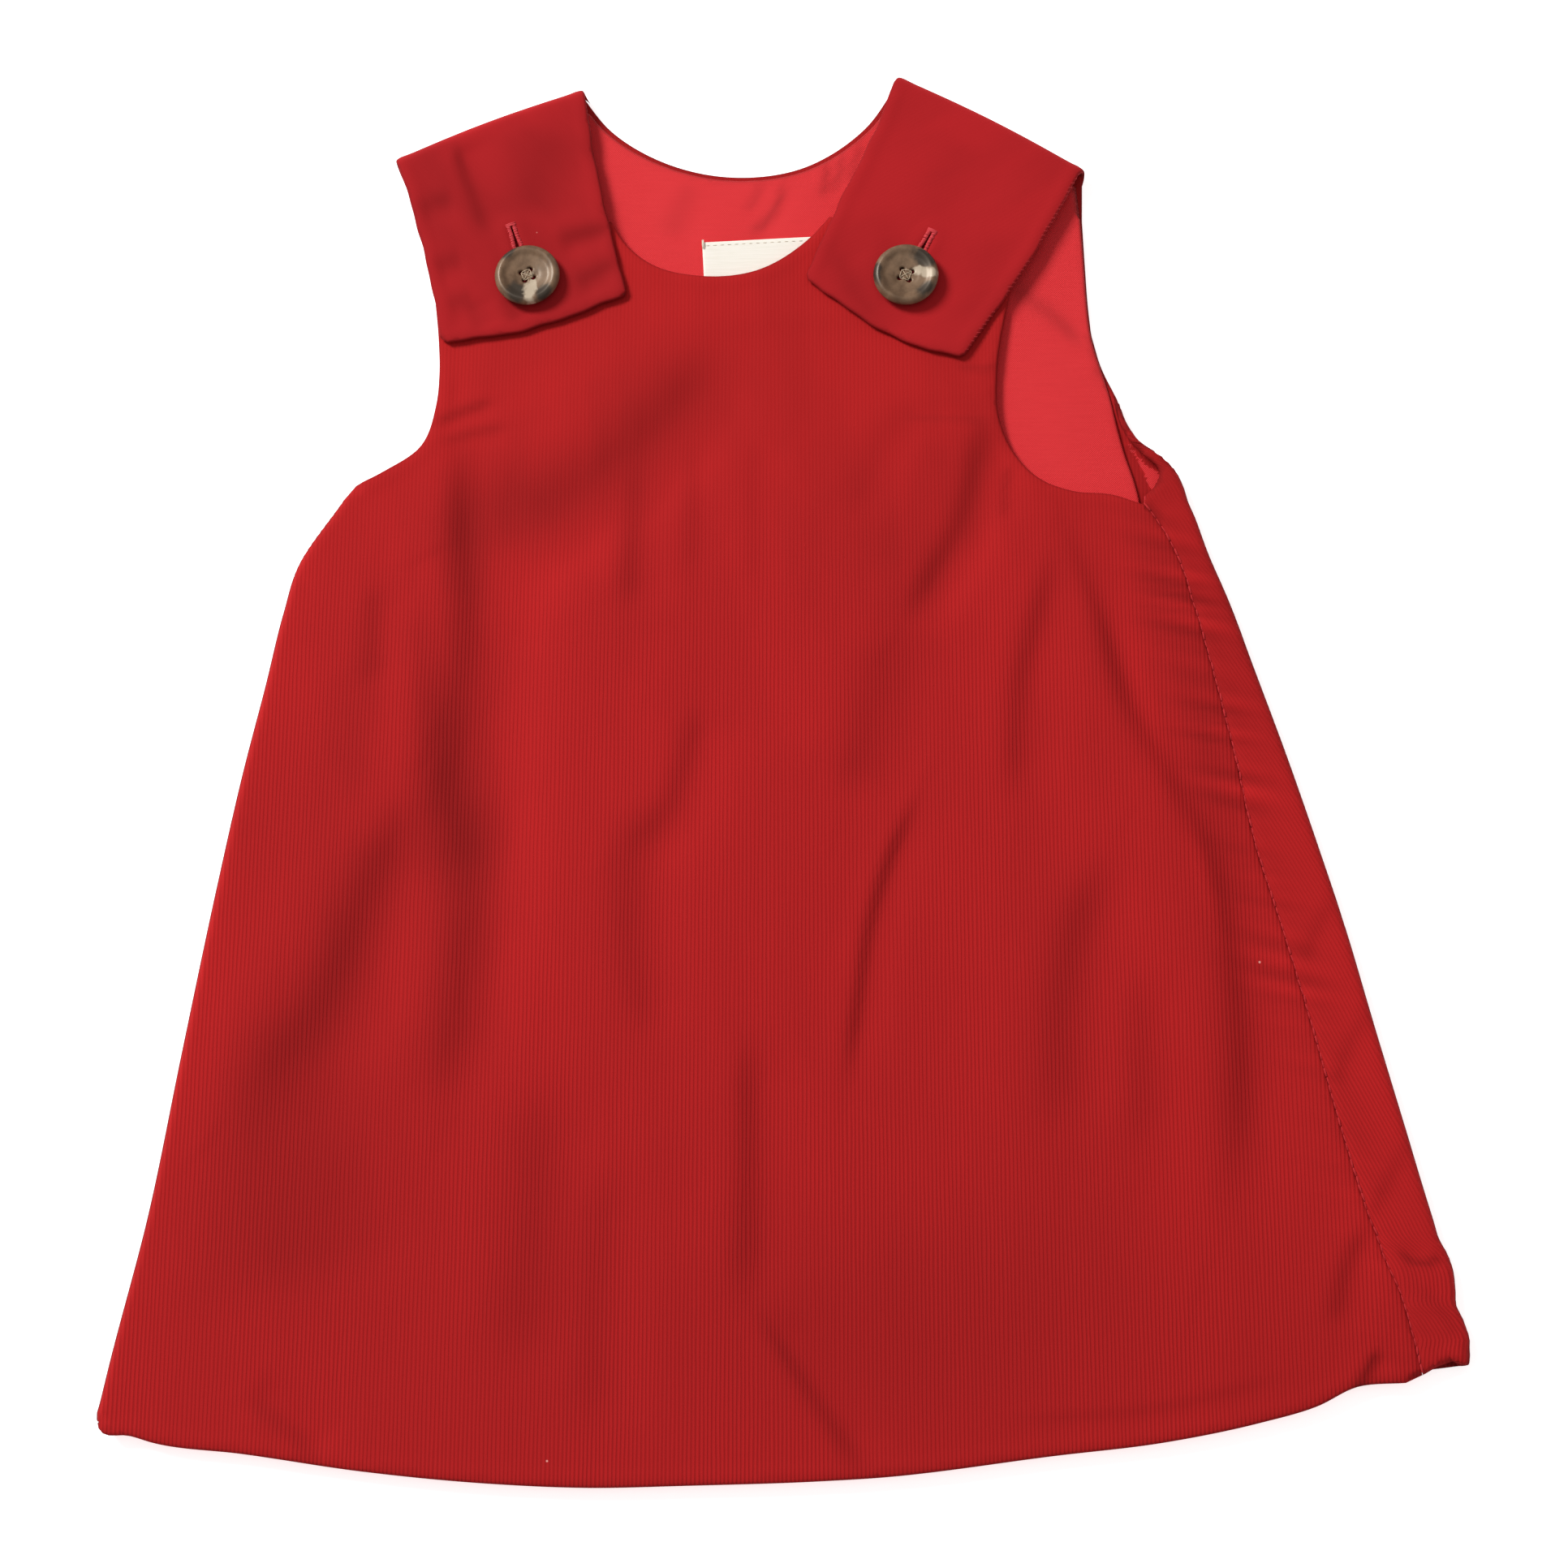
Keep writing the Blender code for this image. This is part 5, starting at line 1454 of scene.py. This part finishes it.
def horn_look(side):
    """Taupe horn-look plastic with a pale streak between two dark patches."""
    made, tree, shader = new_material(f"horn look {side}", 0.42, 0.5)
    shader.inputs["Specular Tint"].default_value = (1, 0.86, 0.7, 1)
    shader.inputs["Coat Weight"].default_value = 0.05
    shader.inputs["Coat Roughness"].default_value = 0.15
    low, high = (np.array(corner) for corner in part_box(f"button_{side}"))
    middle = (low + high) / 2
    place = tree.nodes.new("ShaderNodeTexCoord")
    local = tree.nodes.new("ShaderNodeMapping")
    local.inputs["Location"].default_value = tuple(-middle / HORN_REACH)
    local.inputs["Scale"].default_value = (1 / HORN_REACH,) * 3
    link(tree, (place, "Object"), local.inputs["Vector"])
    grain = noise(tree, (local, 0), 2.2, 5, 0.6)
    color = mix_colors(tree, spread(tree, grain, 0.3, 0.7), (0.10, 0.054, 0.029), (0.20, 0.118, 0.068))

    def patch(centre, size, turn, soft, wobble):
        """A soft oval mask about a place, with a wandering edge."""
        shift = tree.nodes.new("ShaderNodeMapping")
        shift.vector_type = "TEXTURE"
        shift.inputs["Location"].default_value = (*centre, 0)
        shift.inputs["Rotation"].default_value = (0, 0, turn)
        shift.inputs["Scale"].default_value = (*size, 50)
        link(tree, (local, 0), shift.inputs["Vector"])
        far = tree.nodes.new("ShaderNodeVectorMath")
        far.operation = "LENGTH"
        link(tree, (shift, 0), far.inputs[0])
        edge = spread(tree, noise(tree, (local, 0), 3.5, 3), 0, 1, -wobble, wobble, smooth=False)
        return spread(tree, maths(tree, "ADD", (far, "Value"), edge), 1 - soft, 1 + soft, 1, 0)

    if side == "left":
        dark = (((-0.3, -0.62), (0.28, 0.34), 0.5), ((0.52, -0.62), (0.25, 0.3), -0.5),
                ((-0.6, 0.72), (0.35, 0.16), 0.7))
        pale = (((0.1, -0.66), (0.17, 0.5), 0.0), ((0.2, -0.3), (0.12, 0.3), 0.2))
    else:
        dark = (((0.55, 0.5), (0.42, 0.26), -0.7), ((0.6, -0.5), (0.32, 0.2), 0.6),
                ((-0.88, 0.05), (0.16, 0.36), 0.0))
        pale = (((0.64, 0.02), (0.46, 0.17), -0.15), ((0.34, 0.14), (0.16, 0.12), 0.0))
    for centre, size, turn in dark:
        color = mix_colors(tree, patch(centre, size, turn, 0.4, 0.7), color, (0.03, 0.021, 0.015))
    for centre, size, turn in pale:
        color = mix_colors(tree, patch(centre, size, turn, 0.3, 0.9), color, (0.46, 0.37, 0.27))
    link(tree, color, shader.inputs["Base Color"])
    return made


# The set.
def floor():
    side = 6.0
    corners = [(-side, -side, 0), (side, -side, 0), (side, side, 0), (-side, side, 0)]
    mesh = bpy.data.meshes.new("floor")
    mesh.from_pydata(corners, [], [(0, 1, 2, 3)])
    made, tree, shader = new_material("pale floor", 0.9, 0.1)
    shader.inputs["Base Color"].default_value = (0.93, 0.93, 0.93, 1)
    shader.inputs["Emission Color"].default_value = (1, 1, 1, 1)
    shader.inputs["Emission Strength"].default_value = 0.66
    mesh.materials.append(made)
    piece = bpy.data.objects.new("floor", mesh)
    piece.location.z = -0.0002
    bpy.context.scene.collection.objects.link(piece)


def area_light(name, place, size, power):
    """A round lamp that shines at the middle of the dress."""
    data = bpy.data.lights.new(name, "AREA")
    data.shape = "DISK"
    data.size = size
    data.energy = power
    lamp = bpy.data.objects.new(name, data)
    lamp.location = place
    lamp.rotation_euler = (-Vector(place)).to_track_quat("-Z", "Y").to_euler()
    bpy.context.scene.collection.objects.link(lamp)


def lights():
    area_light("window light", (-1.75, 1.35, 1.75), 1.0, 77)
    area_light("ceiling light", (0.2, -0.2, 2.6), 2.4, 7)
    world = bpy.data.worlds.new("pale room")
    bpy.context.scene.world = world
    world.use_nodes = True
    room = world.node_tree.nodes["Background"]
    room.inputs["Color"].default_value = (1, 0.99, 0.98, 1)
    room.inputs["Strength"].default_value = 0.33


def camera():
    """Looks down from 16 degrees off straight above, from the hem side, 1 m away."""
    data = bpy.data.cameras.new("camera")
    data.sensor_fit = "HORIZONTAL"
    data.angle = 2 * math.atan(0.2415)
    shot = bpy.data.objects.new("camera", data)
    lean = math.radians(16)
    shot.location = (0, -0.0133 - math.sin(lean), math.cos(lean))
    shot.rotation_euler = (lean, 0, 0)
    bpy.context.scene.collection.objects.link(shot)
    bpy.context.scene.camera = shot


def main():
    camera()
    floor()
    lights()
    bpy.context.scene.view_settings.view_transform = "Standard"
    groups = {"wales": wales_group(), "weave": weave_group(), "nap": nap_group()}
    cord = needlecord("red needlecord", groups, 0.22)
    smooth_cord = needlecord("red needlecord of the straps", groups, 0.05, (0.40, 0.0115, 0.0145), 0.02)
    poplin = poplin_lining(groups)
    satin_weave = label_weave(groups)
    satin = sewing_thread("red satin stitch", (0.62, 0.05, 0.06))
    tan = sewing_thread("tan button thread", (0.45, 0.34, 0.23))
    deep = sewing_thread("deep red thread", (0.47, 0.021, 0.025), 0.8)
    cream = sewing_thread("cream thread", (0.78, 0.70, 0.57), 0.7)
    rose = sewing_thread("rose thread", (0.50, 0.03, 0.035), 0.7)

    front_piece, front_cut = front(cord, poplin)
    back_piece, back_cut = back(cord, smooth_cord, poplin)
    lining_piece, lining_cut = lining_back(poplin)
    label_piece, label_cut = label(satin_weave)
    for side in STRAPS:
        button_threads(side, button(side, horn_look(side)), tan)
        buttonhole_stitches(side, satin)
    side_seam_stitches(deep)
    strap_edge_stitches(rose)
    label_stitches(cream)
    declare_sheet(back_cut)
    declare_sheet(lining_cut)
    declare_sheet(label_cut)
    declare_sheet(front_cut)


main()
bpy.context.view_layer.update()
